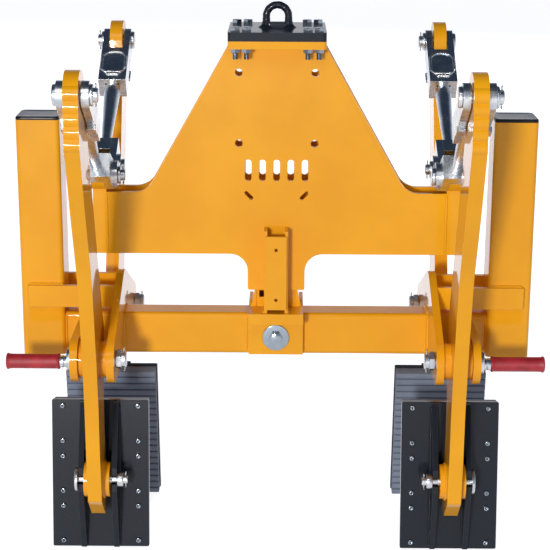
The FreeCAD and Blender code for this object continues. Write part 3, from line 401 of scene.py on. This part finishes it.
def greyRubber():
    s = Surface("greyRubber")
    grain = s.cloud(*rubber["grain"])
    mottle = rubber["bloomShare"] * s.cloud(*rubber["bloom"]) + rubber["grainShare"] * grain
    tone = mottle.step(*toneStep).mix(rubber["deep"], rubber["light"])
    return s.finish(None, grain, *rubber["bump"], Base_Color=tone, Roughness=s.rough(*rubber["rough"]),
                    Specular_IOR_Level=rubber["specular"])


grip = {"deep": rgb(0.30, 0.008, 0.016), "light": rgb(0.45, 0.018, 0.030), "cloud": (22, 4.0),
        "grain": (0.7, 2.0), "bump": (0.08, 0.4), "rough": (0.34, 0.18, 9, 3.0), "specular": 0.5}
capLook = {"deep": rgb(0.008, 0.008, 0.009), "light": rgb(0.022, 0.022, 0.024), "cloud": (25, 4.0),
           "grain": (0.6, 2.0), "bump": (0.06, 0.5), "rough": (0.12, 0.16, 12, 3.0), "specular": 0.14}


def plastic(name, look):
    s = Surface(name)
    tone = s.cloud(*look["cloud"]).step(*toneStep).mix(look["deep"], look["light"])
    return s.finish(None, s.cloud(*look["grain"]), *look["bump"], Base_Color=tone,
                    Roughness=s.rough(*look["rough"]), Specular_IOR_Level=look["specular"])


looks = {"yellow_paint": yellowPaint(), "black_coat": blackCoat(), "zinc_plate": zincPlate(),
         "zinc_fastener": brightZinc(), "grey_rubber": greyRubber(), "red_grip": plastic("redGrip", grip),
         "cap_plastic": plastic("capPlastic", capLook)}
for row in frame["record"]["subparts"]:
    mesh = nodes[row["node"]].data
    mesh.materials.clear()
    mesh.materials.append(looks[row["material_slot"]])


# pad rubbers: the face falls into a groove at each pitch, rolls over at its two sides, and the section is
# carried down the pad; underside columns repeat the top ones so that the ends close
pad = {"reach": 170.0, "height": 142.0, "tilt": 8.5, "offset": 325.0, "back": 54.0, "face": 79.0,
       "halfHeight": 138.0, "halfWidth": 88.0, "pitch": 14.0, "grooveDepth": 5.0, "roll": 2.0, "ease": 0.6,
       "grooveAt": (-5.0, -2.6, -1.9, -1.4, -1.0, 0.0, 1.0, 1.4, 1.9, 2.6, 5.0),
       "grooveShare": (0.0, 0.03, 0.10, 0.40, 0.92, 1.0, 0.92, 0.40, 0.10, 0.03, 0.0)}


# a place on the arm of one corner, from its reach and height
def armPlace(end, side, spec):
    return signOf[side] * pad["offset"], wayOf[end] * spec["reach"], spec["height"]


def padPlace(end, side):
    about = turnAbout("Z", 0 if end == "front" else 180)
    return about @ turnAbout("X", -pad["tilt"]), armPlace(end, side, pad)


def rubberShell():
    half, w, roll, ease = (pad[key] for key in ("halfHeight", "halfWidth", "roll", "ease"))
    count = int(2 * half / pad["pitch"])
    middles = (np.arange(count) - (count - 1) / 2) * pad["pitch"]
    z = np.concatenate([[-half, -half + ease, -half + roll], (middles[:, None] + pad["grooveAt"]).ravel(),
                        [half - roll, half - ease, half]])
    grooves = np.tile(np.array(pad["grooveShare"]) * pad["grooveDepth"], count)
    fall = np.concatenate([[roll, ease, 0.0], grooves, [0.0, ease, roll]])
    x = np.array([-w, -w, -w + ease, -w + roll, -w / 2, 0, w / 2, w - roll, w - ease, w, w])
    sideFall = np.array([0, roll, ease, 0, 0, 0, 0, 0, ease, roll, 0])
    top = pad["face"] - fall[:, None] - sideFall
    top[:, [0, -1]] = pad["back"]
    low = np.full((len(z), len(x) - 2), pad["back"])
    allX = np.concatenate([x, x[-2:0:-1]])
    grid = np.stack(np.broadcast_arrays(allX, np.hstack([top, low]), z[:, None]), -1)
    flat = grid[[0, -1]].copy()
    flat[..., 1] = pad["back"]
    return shell(np.concatenate([flat[:1], grid, flat[1:]]))


for end, side in corners:
    tag = f"{end}_{side}"
    addPiece(f"{tag}_ribbed_rubber", [moved(rubberShell(), *padPlace(end, side))], f"{tag}_pad", "grey_rubber",
             [f"{tag}_pad_rubber"], sharp=50)
print("pad rubbers made")


# domed socket screws of the pads: (along, radius) rows from the seat over the dome into a round socket
padScrew = {"columns": 70.0, "rows": (33.0, 62.0, 128.0), "radius": 5.0, "height": 4.0, "socket": 2.5,
            "seat": 44.0, "sink": 0.4, "side": 1.4, "crownShare": 0.66, "lipShare": 1.1, "lipDepth": 0.3,
            "sides": 18}


def padScrewShells():
    r, h, s, sink = (padScrew[key] for key in ("radius", "height", "socket", "sink"))
    dome = rounding((padScrew["side"], r), (h, padScrew["crownShare"] * r), (h, r), 6)
    socket = [(h, s * padScrew["lipShare"]), (h - padScrew["lipDepth"], s), (-sink, s), (-sink, 0)]
    profile = np.vstack([[(-sink, 0), (-sink, r - sink), (0, r)], dome, socket])
    spots = [(x * padScrew["columns"], z * level)
             for x in (-1, 1) for level in padScrew["rows"] for z in (-1, 1)]
    return [lathe(profile, (x, padScrew["seat"], z), -yAxis, padScrew["sides"]) for x, z in spots]


# headed pins: a turned pin with an eased head at one end and a chamfered tail at the other, a turned collar
# and a split pin through the tail; along is measured from the middle of the grip towards the head
pinKinds = {
    "upper": {"radius": 12.0, "head": 17.5, "headHeight": 7.0, "grip": 54.6, "collar": 18.0, "collarLength": 5.0},
    "lug": {"radius": 10.0, "head": 16.5, "headHeight": 7.0, "grip": 70.2, "collar": 16.0, "collarLength": 5.0},
    "pad": {"radius": 8.0, "head": 23.0, "headHeight": 6.0, "grip": 71.6, "collar": 14.0, "collarLength": 11.0},
}
pinForm = {"tail": 8.0, "chamfer": 1.6, "headEase": 0.6, "headRoll": 2.0, "crown": 0.5, "crownShare": 0.45,
           "collarRoll": 1.4, "collarEase": 0.8}
boreGap = 0.05
splitWire = {"radius": 1.1, "loop": 3.0, "loopRise": 1.25, "loopGap": 0.38, "spread": 5.0, "below": 6.0,
             "bendShare": 0.55, "bendRise": 2.6, "bendEnd": 4.6}


# the split pin's wire: up one side of the hole, round a loop and down the other side, with both tails bent
# away; it lies in the plane of beside and up
def splitPin(centre, beside, up, radius):
    w, loop, spread = (splitWire[key] for key in ("radius", "loop", "spread"))
    gap = splitWire["loopGap"]
    turn = np.linspace(-gap * math.pi, (1 + gap) * math.pi, 17)[::-1]
    low = -radius - splitWire["below"]
    ring = np.stack([loop * np.cos(turn), radius + loop * splitWire["loopRise"] + loop * np.sin(turn)], -1)
    left = np.array([[-spread, low], [-splitWire["bendShare"] * spread, low + splitWire["bendRise"]],
                     [-w, low + splitWire["bendEnd"]], [-w, radius]])
    flat = np.vstack([left, ring, left[::-1] * (-1, 1)])
    path = np.asarray(centre, float) + flat[:, :1] * beside + flat[:, 1:] * up
    return tube(path, np.cross(beside, up), w, 8)


def headedPin(kind, outward):
    spec, f = pinKinds[kind], pinForm
    r, head, half = spec["radius"], spec["head"], spec["grip"] / 2
    tail = -half - spec["collarLength"] - f["tail"]
    top = half + spec["headHeight"]
    brow = top - f["crown"]
    roll = min(f["headRoll"], spec["headHeight"] / 3)
    profile = np.vstack([[(tail, 0), (tail, r - f["chamfer"]), (tail + f["chamfer"], r), (half, r),
                          (half, head - f["headEase"]), (half + f["headEase"], head)],
                         rounding((brow - roll, head), (brow, head - roll), (brow, head), 5),
                         [(top, head * f["crownShare"]), (top, 0)]])
    c, inner, turned, eased = spec["collar"], r + boreGap, f["collarRoll"], f["collarEase"]
    a, b = -half - spec["collarLength"], -half
    ring = np.vstack([[(a, inner), (a, c - turned)], rounding((a, c - turned), (a + turned, c), (a, c), 4),
                      rounding((b - eased, c), (b, c - eased), (b, c), 4), [(b, inner), (a, inner)]])
    axis = outward * xAxis
    return [lathe(profile, (0, 0, 0), axis), lathe(ring, (0, 0, 0), axis),
            splitPin(axis * (tail + f["tail"] / 2), yAxis, zAxis, r)]


upperPin = {"reach": 352.0, "height": 882.0}
lugPin = {"reach": 32.0, "height": 684.0}
for end, side in corners:
    tag = f"{end}_{side}"
    where = padPlace(end, side)
    outward = signOf[side] if end == "front" else -signOf[side]
    addPiece(f"{tag}_socket_screws", [moved(part, *where) for part in padScrewShells()], f"{tag}_pad",
             "zinc_fastener", [f"{tag}_pad_screws"])
    addPiece(f"{tag}_pad_hinge_pin", [moved(part, *where) for part in headedPin("pad", outward)],
             f"{tag}_pad", "zinc_plate", [f"{tag}_pad_pin"])
    at = armPlace(end, side, upperPin)
    addPiece(f"{tag}_upper_pin", [moved(part, still, at) for part in headedPin("upper", wayOf[end])],
             f"{tag}_link", "zinc_plate", [f"{tag}_link_pin"])
lugPins = [moved(part, still, armPlace(end, side, lugPin))
           for end, side in corners for part in headedPin("lug", wayOf[end])]
addPiece("lug_pin_set", lugPins, "lifting_body", "zinc_plate", ["lug_pins"])
print("pins and screws made")


# pivot pins with a keeper disc and collar outside, a nut and split pin inside, and a red grip
pivot = {"reach": 182.0, "height": 379.0, "radius": 15.0, "nutFlats": 31.2, "nutFace": 285.5, "nutLength": 11.0,
         "tail": 8.0, "chamfer": 2.0, "keeper": 22.0, "keeperFrom": 364.5, "keeperTo": 372.5, "keeperEase": 0.6,
         "keeperRoll": 1.6, "collar": 11.0, "collarSink": 2.0, "groove": (4.0, 5.0, 6.0, 7.0),
         "grooveDepth": (1.0, 1.4), "gripFrom": 385.5, "gripTo": 481.5, "gripDrop": 5.0, "core": 6.0,
         "coreTaper": 1.5}
sleeve = {"radius": 13.4, "endRadius": 14.8, "knurl": 0.45, "starts": 20, "twist": 0.62, "rows": 132, "cols": 120,
          "flare": 9.0, "flareRun": 6.0, "bead": 4.5, "beadRun": 1.5, "beadShare": 0.7, "rim": 2.5,
          "rimShare": 0.16, "plainInner": 5.0, "plainOuter": 9.0, "plainRun": 2.0, "bore": 2.0, "dish": 0.6}


def pivotPin(end, side):
    axis = signOf[side] * xAxis
    at = np.array([0, wayOf[end] * pivot["reach"], pivot["height"]])
    r, k, c = pivot["radius"], pivot["keeper"], pivot["collar"]
    near, far, start = pivot["keeperFrom"], pivot["keeperTo"], pivot["gripFrom"]
    ease, roll, chamfer = pivot["keeperEase"], pivot["keeperRoll"], pivot["chamfer"]
    tail = pivot["nutFace"] - pivot["nutLength"] - pivot["tail"]
    body = np.vstack([[(tail, 0), (tail, r - chamfer), (tail + chamfer, r), (near, r), (near, k - ease),
                       (near + ease, k)], rounding((far - roll, k), (far, k - roll), (far, k), 5), [(far, 0)]])
    rim, edge, waist, rise = (far + step for step in pivot["groove"])
    shallow, deep = pivot["grooveDepth"]
    sunk, core = far - pivot["collarSink"], start + pivot["core"]
    neck = np.vstack([[(sunk, 0), (sunk, c)], rounding((rim, c), (edge, c - shallow), (edge, c)),
                      [(waist, c - deep), (rise, c), (start, c), (core, c - pivot["coreTaper"]), (core, 0)]])
    return [lathe(body, at, axis), lathe(neck, at - zAxis * pivot["gripDrop"], axis, 32),
            splitPin(at + axis * (tail + pivot["tail"] / 2), signOf[side] * yAxis, zAxis, r)]


# the grip's radius: a plain barrel, flared at its outer end and beaded at its inner end, less a diamond
# knurl, the product of two cosine waves that wind opposite ways
def gripSleeve(end, side):
    g = sleeve
    length = pivot["gripTo"] - pivot["gripFrom"]
    along = np.linspace(0, 1, g["rows"])[:, None] * length
    angle = roundAngles(g["cols"])
    flare = (np.clip((along - length + g["flare"]) / g["flareRun"], 0, 1) ** 2
             + g["beadShare"] * np.clip((g["bead"] - along) / g["beadRun"], 0, 1))
    rim = 1 - np.clip(1 - np.minimum(along, length - along) / g["rim"], 0, 1) ** 2 * g["rimShare"]
    plain = np.minimum(along - g["plainInner"], length - g["plainOuter"] - along) / g["plainRun"]
    wind, half = along * g["twist"], g["starts"] / 2
    knurl = np.abs(np.cos(half * angle + wind)) * np.abs(np.cos(half * angle - wind))
    radius = ((g["radius"] + (g["endRadius"] - g["radius"]) * flare) * rim
              - g["knurl"] * np.clip(plain, 0, 1) * (1 - knurl))
    radius = np.concatenate([0 * radius[:1] + pivot["collar"] - g["bore"], radius, 0 * radius[:1]])
    along = np.concatenate([along[:1], along, along[-1:] - g["dish"]]) + pivot["gripFrom"]
    at = (0, wayOf[end] * pivot["reach"], pivot["height"] - pivot["gripDrop"])
    return spun(along, radius, angle, at, signOf[side] * xAxis)


pivotNuts = [hexagon((0, wayOf[end] * pivot["reach"], pivot["height"]), signOf[side] * xAxis,
                     pivot["nutFace"] - pivot["nutLength"], pivot["nutFace"], pivot["nutFlats"],
                     pivot["radius"] + boreGap, True) for end, side in corners]
addPiece("pivot_pin_set", [part for end, side in corners for part in pivotPin(end, side)], "base_frame",
         "zinc_plate", ["pivot_pins"])
addPiece("pivot_nut_set", pivotNuts, "base_frame", "zinc_plate", ["pivot_nuts"])
addPiece("grip_sleeves", [gripSleeve(end, side) for end, side in corners], "base_frame", "red_grip", ["grips"],
         sharp=60)
print("pivots and grips made")


# bolts through the eye plate, and the bolt across the saddle; bite is how far a nut overlaps its thread
topBolt = {"columns": (74.5, 54.5), "row": 62.0, "seat": 951.0, "head": 7.0, "flats": 16.45, "flangeLow": 921.0,
           "nut": 8.0, "tail": 12.0, "radius": 5.0, "pitch": 1.5, "threadIn": 2.0, "turn": math.pi / 6}
crossBolt = {"height": 377.0, "face": 42.0, "washer": 25.0, "washerThickness": 4.0, "washerRoll": 1.0,
             "head": 10.0, "flats": 22.0, "collarShare": 0.52, "collarHeight": 0.8, "radius": 8.0, "tail": 10.0,
             "pitch": 2.0, "threadIn": 3.0}
bite = 0.3


def topBolts():
    b, heads, nuts = topBolt, [], []
    nutLow = b["flangeLow"] - b["nut"]
    for x in [sx * column for sx in (-1, 1) for column in b["columns"]]:
        for y in (-b["row"], b["row"]):
            heads.append(hexagon((x, y, b["seat"]), zAxis, 0, b["head"], b["flats"], turn=b["turn"]))
            heads.append(thread((x, y, nutLow), -zAxis, -b["threadIn"], b["tail"], b["radius"], b["pitch"]))
            nuts.append(hexagon((x, y, nutLow), zAxis, 0, b["nut"], b["flats"], b["radius"] - bite, True,
                                b["turn"]))
    return heads, nuts


def washer(way):
    r, t, hole = crossBolt["washer"], crossBolt["washerThickness"], crossBolt["radius"] + boreGap
    roll = crossBolt["washerRoll"]
    rows = np.vstack([[(0, hole), (0, r)], rounding((t - roll, r), (t, r - roll), (t, r), 5),
                      [(t, hole), (0, hole)]])
    return lathe(rows, (0, way * crossBolt["face"], crossBolt["height"]), way * yAxis, 56)


def crossBolts():
    b = crossBolt
    low = b["face"] + b["washerThickness"]
    high, collar = low + b["head"], low + b["collarHeight"]
    wide = b["flats"] * b["collarShare"]
    middle = (0, 0, b["height"])
    bolt = [hexagon(middle, -yAxis, low, high, b["flats"]),
            lathe([(low, 0), (low, wide), (collar, wide), (collar, 0)], middle, -yAxis),
            thread(middle, yAxis, high - b["threadIn"], high + b["tail"], b["radius"], b["pitch"])]
    nut = hexagon(middle, yAxis, low, high, b["flats"], b["radius"] - bite, True)
    return bolt, [washer(-1), washer(1), nut]


heads, nuts = topBolts()
addPiece("top_bolts", heads, "lifting_body", "zinc_fastener", ["eye_plate_bolts"])
addPiece("top_nuts", nuts, "lifting_body", "zinc_fastener", ["eye_plate_nuts"])
bolt, washers = crossBolts()
addPiece("cross_bolt", bolt, "base_frame", "zinc_fastener", ["saddle_bolt"])
addPiece("cross_bolt_washers", washers, "base_frame", "zinc_fastener", ["saddle_washers"])
print("bolts made")


# the eye: a bar bent to a loop whose radius flares as it comes down to the plate and has small lumps, sines
# of (height, rate) along it, and a rounded block between its legs: a superquadric, each axis a signed power
# of a sphere's
eye = {"loop": 20.0, "bar": 7.0, "foot": 951.0, "flare": 9.0, "flareFall": 4.2, "block": (20.0, 8.5, 10.0),
       "power": 0.3, "lumps": ((0.22, 0.9), (0.16, 2.3)), "lumpSink": 0.4}


def forgedEye():
    rise = np.linspace(eye["foot"], eyeHeight, 22)
    bend = np.linspace(math.pi, 0, 41)[1:-1]
    x = np.concatenate([-eye["loop"] + 0 * rise, eye["loop"] * np.cos(bend), eye["loop"] + 0 * rise])
    z = np.concatenate([rise, eyeHeight + eye["loop"] * np.sin(bend), rise[::-1]])
    lumps = sum(high * np.sin(np.arange(len(x)) * rate) for high, rate in eye["lumps"]) - eye["lumpSink"]
    radius = eye["bar"] + lumps + eye["flare"] * np.exp(-(z - eye["foot"]) / eye["flareFall"])
    u = np.linspace(-math.pi / 2, math.pi / 2, 25)[:, None]
    v = roundAngles(48)
    cosU, sinU, cosV, sinV = (signedPower(f(a), eye["power"]) for a in (u, v) for f in (np.cos, np.sin))
    hx, hy, hz = eye["block"]
    block = np.stack(np.broadcast_arrays(hx * cosU * cosV, hy * cosU * sinV, eye["foot"] + hz * sinU), -1)
    return [tube(np.stack([x, 0 * x, z], -1), yAxis, radius, 28), shell(block)]


addPiece("forged_eye", forgedEye(), "lifting_body", "black_coat", ["lifting_eye"], sharp=60)


# tube caps: a rounded square, each axis a signed power of a circle's, scaled by rows of (share, height) that
# roll over at the rim and dip a little in the middle
cap = {"offset": 435.0, "half": 40.0, "low": 786.0, "columns": 96, "power": 0.16,
       "rows": ((0, 0), (0.985, 0), (1, 0.4), (1, 3.4), (0.993, 4.6), (0.975, 5.5), (0.945, 6.0), (0.88, 6.0),
                (0.84, 5.65), (0.5, 5.5), (0, 5.5))}


def tubeCap(side):
    v = roundAngles(cap["columns"])
    share, height = np.array(cap["rows"]).T[..., None, None]
    plan = np.stack([signedPower(np.cos(v), cap["power"]), signedPower(np.sin(v), cap["power"])], -1) * cap["half"]
    level = np.broadcast_to(height + cap["low"], (len(height), len(v), 1))
    grid = np.concatenate([share * plan, level], -1)
    return moved(shell(grid), still, (signOf[side] * cap["offset"], 0, 0))


addPiece("tube_caps", [tubeCap(side) for side in signOf], "base_frame", "cap_plastic", ["upright_caps"])
print("eye and caps made")


# welds: straight runs as (start, end, outward), in mm
bodyWeld = {"size": 3.2, "thinShare": 0.75, "plateFace": 33.0, "flangeLow": 921.0, "halfTop": 84.0,
            "wingEnd": 312.5, "wing": (538.0, 650.0)}
frameWeld = {"size": 3.4, "beamHalf": 30.0, "beamTop": 420.0, "beamAcross": 25.0, "innerCheek": 285.5,
             "cheek": (346.0, 416.0), "uprightNear": 395.0, "uprightFace": 40.0, "upright": (345.0, 415.0),
             "brace": (436.0, 477.0), "braceEnd": 460.0, "saddleHalf": 51.0, "saddle": (345.0, 414.0),
             "saddleLow": 343.0, "saddleAcross": 48.0, "saddleTop": 432.0, "guideFace": 22.0,
             "guide": (35.0, 68.0), "postHalf": 46.0, "postAcross": 18.5}
weldSharp = 70


def bodyWelds():
    w, runs = bodyWeld, []
    low, high = w["wing"]
    for y in (-1, 1):
        face, top = y * w["plateFace"], w["halfTop"]
        runs.append(((-top, face, w["flangeLow"]), (top, face, w["flangeLow"]), (0, y, -1)))
        for x in (-1, 1):
            wing = x * w["wingEnd"]
            runs.append(((wing, face, low), (wing, face, high), (0, y, 0)))
    return [bead([start, end], outward, w["size"] * (1 if outward[2] else w["thinShare"]))
            for start, end, outward in runs]


def frameWelds():
    w, runs = frameWeld, []
    low, high = w["brace"]
    beamTop, saddleTop, saddleLow = w["beamTop"], w["saddleTop"], w["saddleLow"]
    for y in (-1, 1):
        b, u = y * w["beamHalf"], y * w["uprightFace"]
        for x in (-1, 1):
            c, s, g = x * w["innerCheek"], x * w["saddleHalf"], x * w["guideFace"]
            near, far = x * w["uprightNear"], x * w["braceEnd"]
            runs.append(((c, b, w["cheek"][0]), (c, b, w["cheek"][1]), (-x, y, 0)))
            for z, up in ((low, -1), (high, 1)):
                runs.append(((near, u, z), (far, u, z), (0, y, up)))
            runs.append(((far, u, low), (far, u, high), (x, y, 0)))
            runs.append(((near, b, w["upright"][0]), (near, b, w["upright"][1]), (-x, y, 0)))
            runs.append(((s, b, w["saddle"][0]), (s, b, w["saddle"][1]), (x, y, 0)))
            runs.append(((g, y * w["guide"][0], saddleTop), (g, y * w["guide"][1], saddleTop), (x, 0, 1)))
        runs.append(((-w["saddleAcross"], b, saddleLow), (w["saddleAcross"], b, saddleLow), (0, y, -1)))
    for x in (-1, 1):
        c = x * w["innerCheek"]
        runs.append(((c, -w["beamAcross"], beamTop), (c, w["beamAcross"], beamTop), (-x, 0, 1)))
        p = x * w["postHalf"]  # between the body plates, which come down beside the post
        runs.append(((p, -w["postAcross"], saddleTop), (p, w["postAcross"], saddleTop), (x, 0, 1)))
    return [bead([start, end], outward, w["size"]) for start, end, outward in runs]


addPiece("body_welds", bodyWelds(), "lifting_body", "yellow_paint", sharp=weldSharp)
addPiece("frame_welds", frameWelds(), "base_frame", "yellow_paint", sharp=weldSharp)

# each link's web is welded in on top by a D: two sides, a half round nearer the pin, and a straight foot
# with its corners cut; a short thicker bead follows, and one goes round the shank where it leaves the block
linkSpan, linkRise = upperPin["reach"] - lugPin["reach"], upperPin["height"] - lugPin["height"]
linkWeld = {"length": math.hypot(linkSpan, linkRise), "rise": math.degrees(math.atan2(linkRise, linkSpan)),
            "top": 23.0, "half": 23.0, "near": 65.0, "far": 126.0, "cut": 8.0, "size": 3.0, "roundShare": 0.8,
            "shank": 18.0, "block": 126.0, "foot": 133.0, "footHalf": 14.0, "footShare": 1.2}
padWeld = {"seat": 44.0, "ribFace": 35.5, "half": 132.0, "size": 2.4}
bossWeld = {"radius": 32.0, "face": 12.5, "reach": 170.0, "height": 142.0, "size": 2.6}


def linkWelds(end, side):
    w = linkWeld
    bend = np.linspace(0, math.pi, 25)
    half, far, bow = w["half"], w["far"], w["half"] * w["roundShare"]
    inner, short = half - w["cut"], far - w["cut"]
    x = np.concatenate([[half], half * np.cos(bend), [-half, -inner, inner, half]])
    t = np.concatenate([[short], w["near"] + bow - bow * np.sin(bend), [short, far, far, short]])
    outline = np.stack([x, w["length"] - t, 0 * x + w["top"]], -1)
    foot = [(x, w["length"] - w["foot"], w["top"]) for x in (-w["footHalf"], w["footHalf"])]
    turn = np.linspace(0, fullTurn, 49)
    ring = np.stack([w["shank"] * np.cos(turn), 0 * turn + w["length"] - w["block"],
                     w["shank"] * np.sin(turn)], -1)
    outward = np.stack([np.cos(turn), 0 * turn - 1, np.sin(turn)], -1)
    about = turnAbout("Z", 0 if end == "rear" else 180) @ turnAbout("X", w["rise"])
    parts = [bead(outline, zAxis, w["size"]), bead(foot, zAxis, w["size"] * w["footShare"]),
             bead(ring, outward, w["size"])]
    return [moved(part, about, armPlace(end, side, lugPin)) for part in parts]


def padWelds(end, side):
    w, parts = padWeld, []
    for x in (-1, 1):
        rib = x * w["ribFace"]
        parts.append(bead([(rib, w["seat"], -w["half"]), (rib, w["seat"], w["half"])], (x, -1, 0), w["size"]))
    return [moved(part, *padPlace(end, side)) for part in parts]


def bossWelds(end, side):
    w, parts = bossWeld, []
    turn = np.linspace(0, fullTurn, 73)
    for face in (-1, 1):
        ring = np.stack([0 * turn + face * w["face"], w["radius"] * np.cos(turn), w["radius"] * np.sin(turn)], -1)
        outward = np.stack([0 * turn + face, np.cos(turn), np.sin(turn)], -1)
        parts.append(bead(ring, outward, w["size"]))
    return [moved(part, still, armPlace(end, side, w)) for part in parts]


for end, side in corners:
    tag = f"{end}_{side}"
    addPiece(f"{tag}_link_welds", linkWelds(end, side), f"{tag}_link", "zinc_plate", sharp=weldSharp)
    addPiece(f"{tag}_pad_welds", padWelds(end, side), f"{tag}_pad", "black_coat", sharp=weldSharp)
    addPiece(f"{tag}_boss_welds", bossWelds(end, side), f"{tag}_arm", "yellow_paint", sharp=weldSharp)
print("welds made")


# camera at the photograph's place, in metres from the eye, and turns in radians
shot = {"at": (0.0141, -2.8692, 0.3139), "yaw": -0.0057, "pitch": 0.2714, "roll": 0.0049, "lens": 103.46,
        "sensor": 36.0}
# the back light isn't mirrored, because its image would burn out level faces
lights = {"key": {"at": (-1.45, -6.80, 0.55), "size": 0.7, "power": 280.0, "to": (0, 0, -0.45), "mirrored": True},
          "fill": {"at": (-0.50, -3.20, 2.60), "size": 1.6, "power": 22.0, "to": (0, 0, -0.5), "mirrored": True},
          "back": {"at": (1.60, 6.50, 2.40), "size": 2.0, "power": 230.0, "to": (0, 0, -0.5), "mirrored": False}}
# the sky's colours, and the heights or depths between which each gives way to the next
sky = {"level": 1.0, "back": rgb(0.96, 0.95, 1.0), "front": rgb(0.27, 0.29, 0.32),
       "middle": rgb(0.44, 0.52, 0.66), "zenith": rgb(0.034, 0.052, 0.085), "horizon": rgb(0.93, 0.93, 0.96),
       "under": rgb(0.22, 0.22, 0.24), "behindStep": (-0.2, 0.7), "lowStep": (-0.30, -0.12),
       "aroundStep": (0.02, 0.16), "middleStep": (0.08, 0.32), "zenithStep": (0.22, 0.75)}
ground = {"half": 80, "gap": 0.0005, "deep": rgb(0.48, 0.48, 0.49), "light": rgb(0.50, 0.50, 0.51),
          "cloudMm": 400, "roughness": 0.8, "glow": rgb(0.87, 0.865, 0.88)}


def cameraAxes():
    yaw, pitch, roll = shot["yaw"], shot["pitch"], shot["roll"]
    flat = np.array([math.sin(yaw), math.cos(yaw), 0])
    forward = math.cos(pitch) * flat - math.sin(pitch) * zAxis
    rise = math.sin(pitch) * flat + math.cos(pitch) * zAxis
    right = np.array([math.cos(yaw), -math.sin(yaw), 0])
    return (math.cos(roll) * right + math.sin(roll) * rise, math.cos(roll) * rise - math.sin(roll) * right,
            -forward)


# a matrix with three axes as its columns, at a place
def placed(axes, at):
    matrix = Matrix(np.column_stack(axes).tolist()).to_4x4()
    matrix.translation = at
    return matrix


camera = bpy.data.objects.new("camera", bpy.data.cameras.new("camera"))
camera.data.lens, camera.data.sensor_width = shot["lens"], shot["sensor"]
camera.matrix_world = placed(cameraAxes(), shot["at"])
bpy.context.scene.collection.objects.link(camera)
bpy.context.scene.camera = camera

for name, spec in lights.items():
    lamp = bpy.data.objects.new(name, bpy.data.lights.new(name, "AREA"))
    lamp.data.energy, lamp.data.size = spec["power"], spec["size"]
    aim = np.array(spec["to"]) - np.array(spec["at"])
    back = -aim / np.linalg.norm(aim)
    lamp.matrix_world = placed([*across(back), back], spec["at"])
    lamp.visible_glossy = spec["mirrored"]
    bpy.context.scene.collection.objects.link(lamp)

world = bpy.data.worlds.new("studio")
world.use_nodes = True
world.node_tree.nodes.clear()
air = Wire(world.node_tree)
way = air.node("ShaderNodeTexCoord", out="Generated")
height = air.node("ShaderNodeSeparateXYZ", {}, {"Vector": way}, "Z")
behind = air.node("ShaderNodeSeparateXYZ", {}, {"Vector": way}, "Y").step(*sky["behindStep"])
low = height.step(*sky["lowStep"]).mix(sky["under"], sky["horizon"])
around = height.step(*sky["aroundStep"]).mix(low, behind.mix(sky["front"], sky["back"]))
above = height.step(*sky["middleStep"]).mix(around, sky["middle"])
level = height.step(*sky["zenithStep"]).mix(above, sky["zenith"])
glow = air.node("ShaderNodeBackground", {}, {"Color": level, "Strength": sky["level"]})
air.node("ShaderNodeOutputWorld", {}, {"Surface": glow})
bpy.context.scene.world = world

floorMesh = bpy.data.meshes.new("floor")
floorZ = cadLow[2] - ground["gap"]
floorMesh.from_pydata([(x * ground["half"], y * ground["half"], floorZ)
                       for x, y in ((-1, -1), (1, -1), (1, 1), (-1, 1))], [], [(0, 1, 2, 3)])
floor = bpy.data.objects.new("floor", floorMesh)
floorLook = Surface("paleFloor")
floorTone = floorLook.cloud(ground["cloudMm"]).mix(ground["deep"], ground["light"])
floorMesh.materials.append(floorLook.finish(Base_Color=floorTone, Roughness=ground["roughness"],
                                            Emission_Color=ground["glow"], Emission_Strength=1.0))
bpy.context.scene.collection.objects.link(floor)
floor.visible_diffuse = False  # its glow shows and reflects, and doesn't light the object
floor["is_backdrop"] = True
bpy.context.scene.view_settings.view_transform = "Standard"
print("stage set")

low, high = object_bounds()
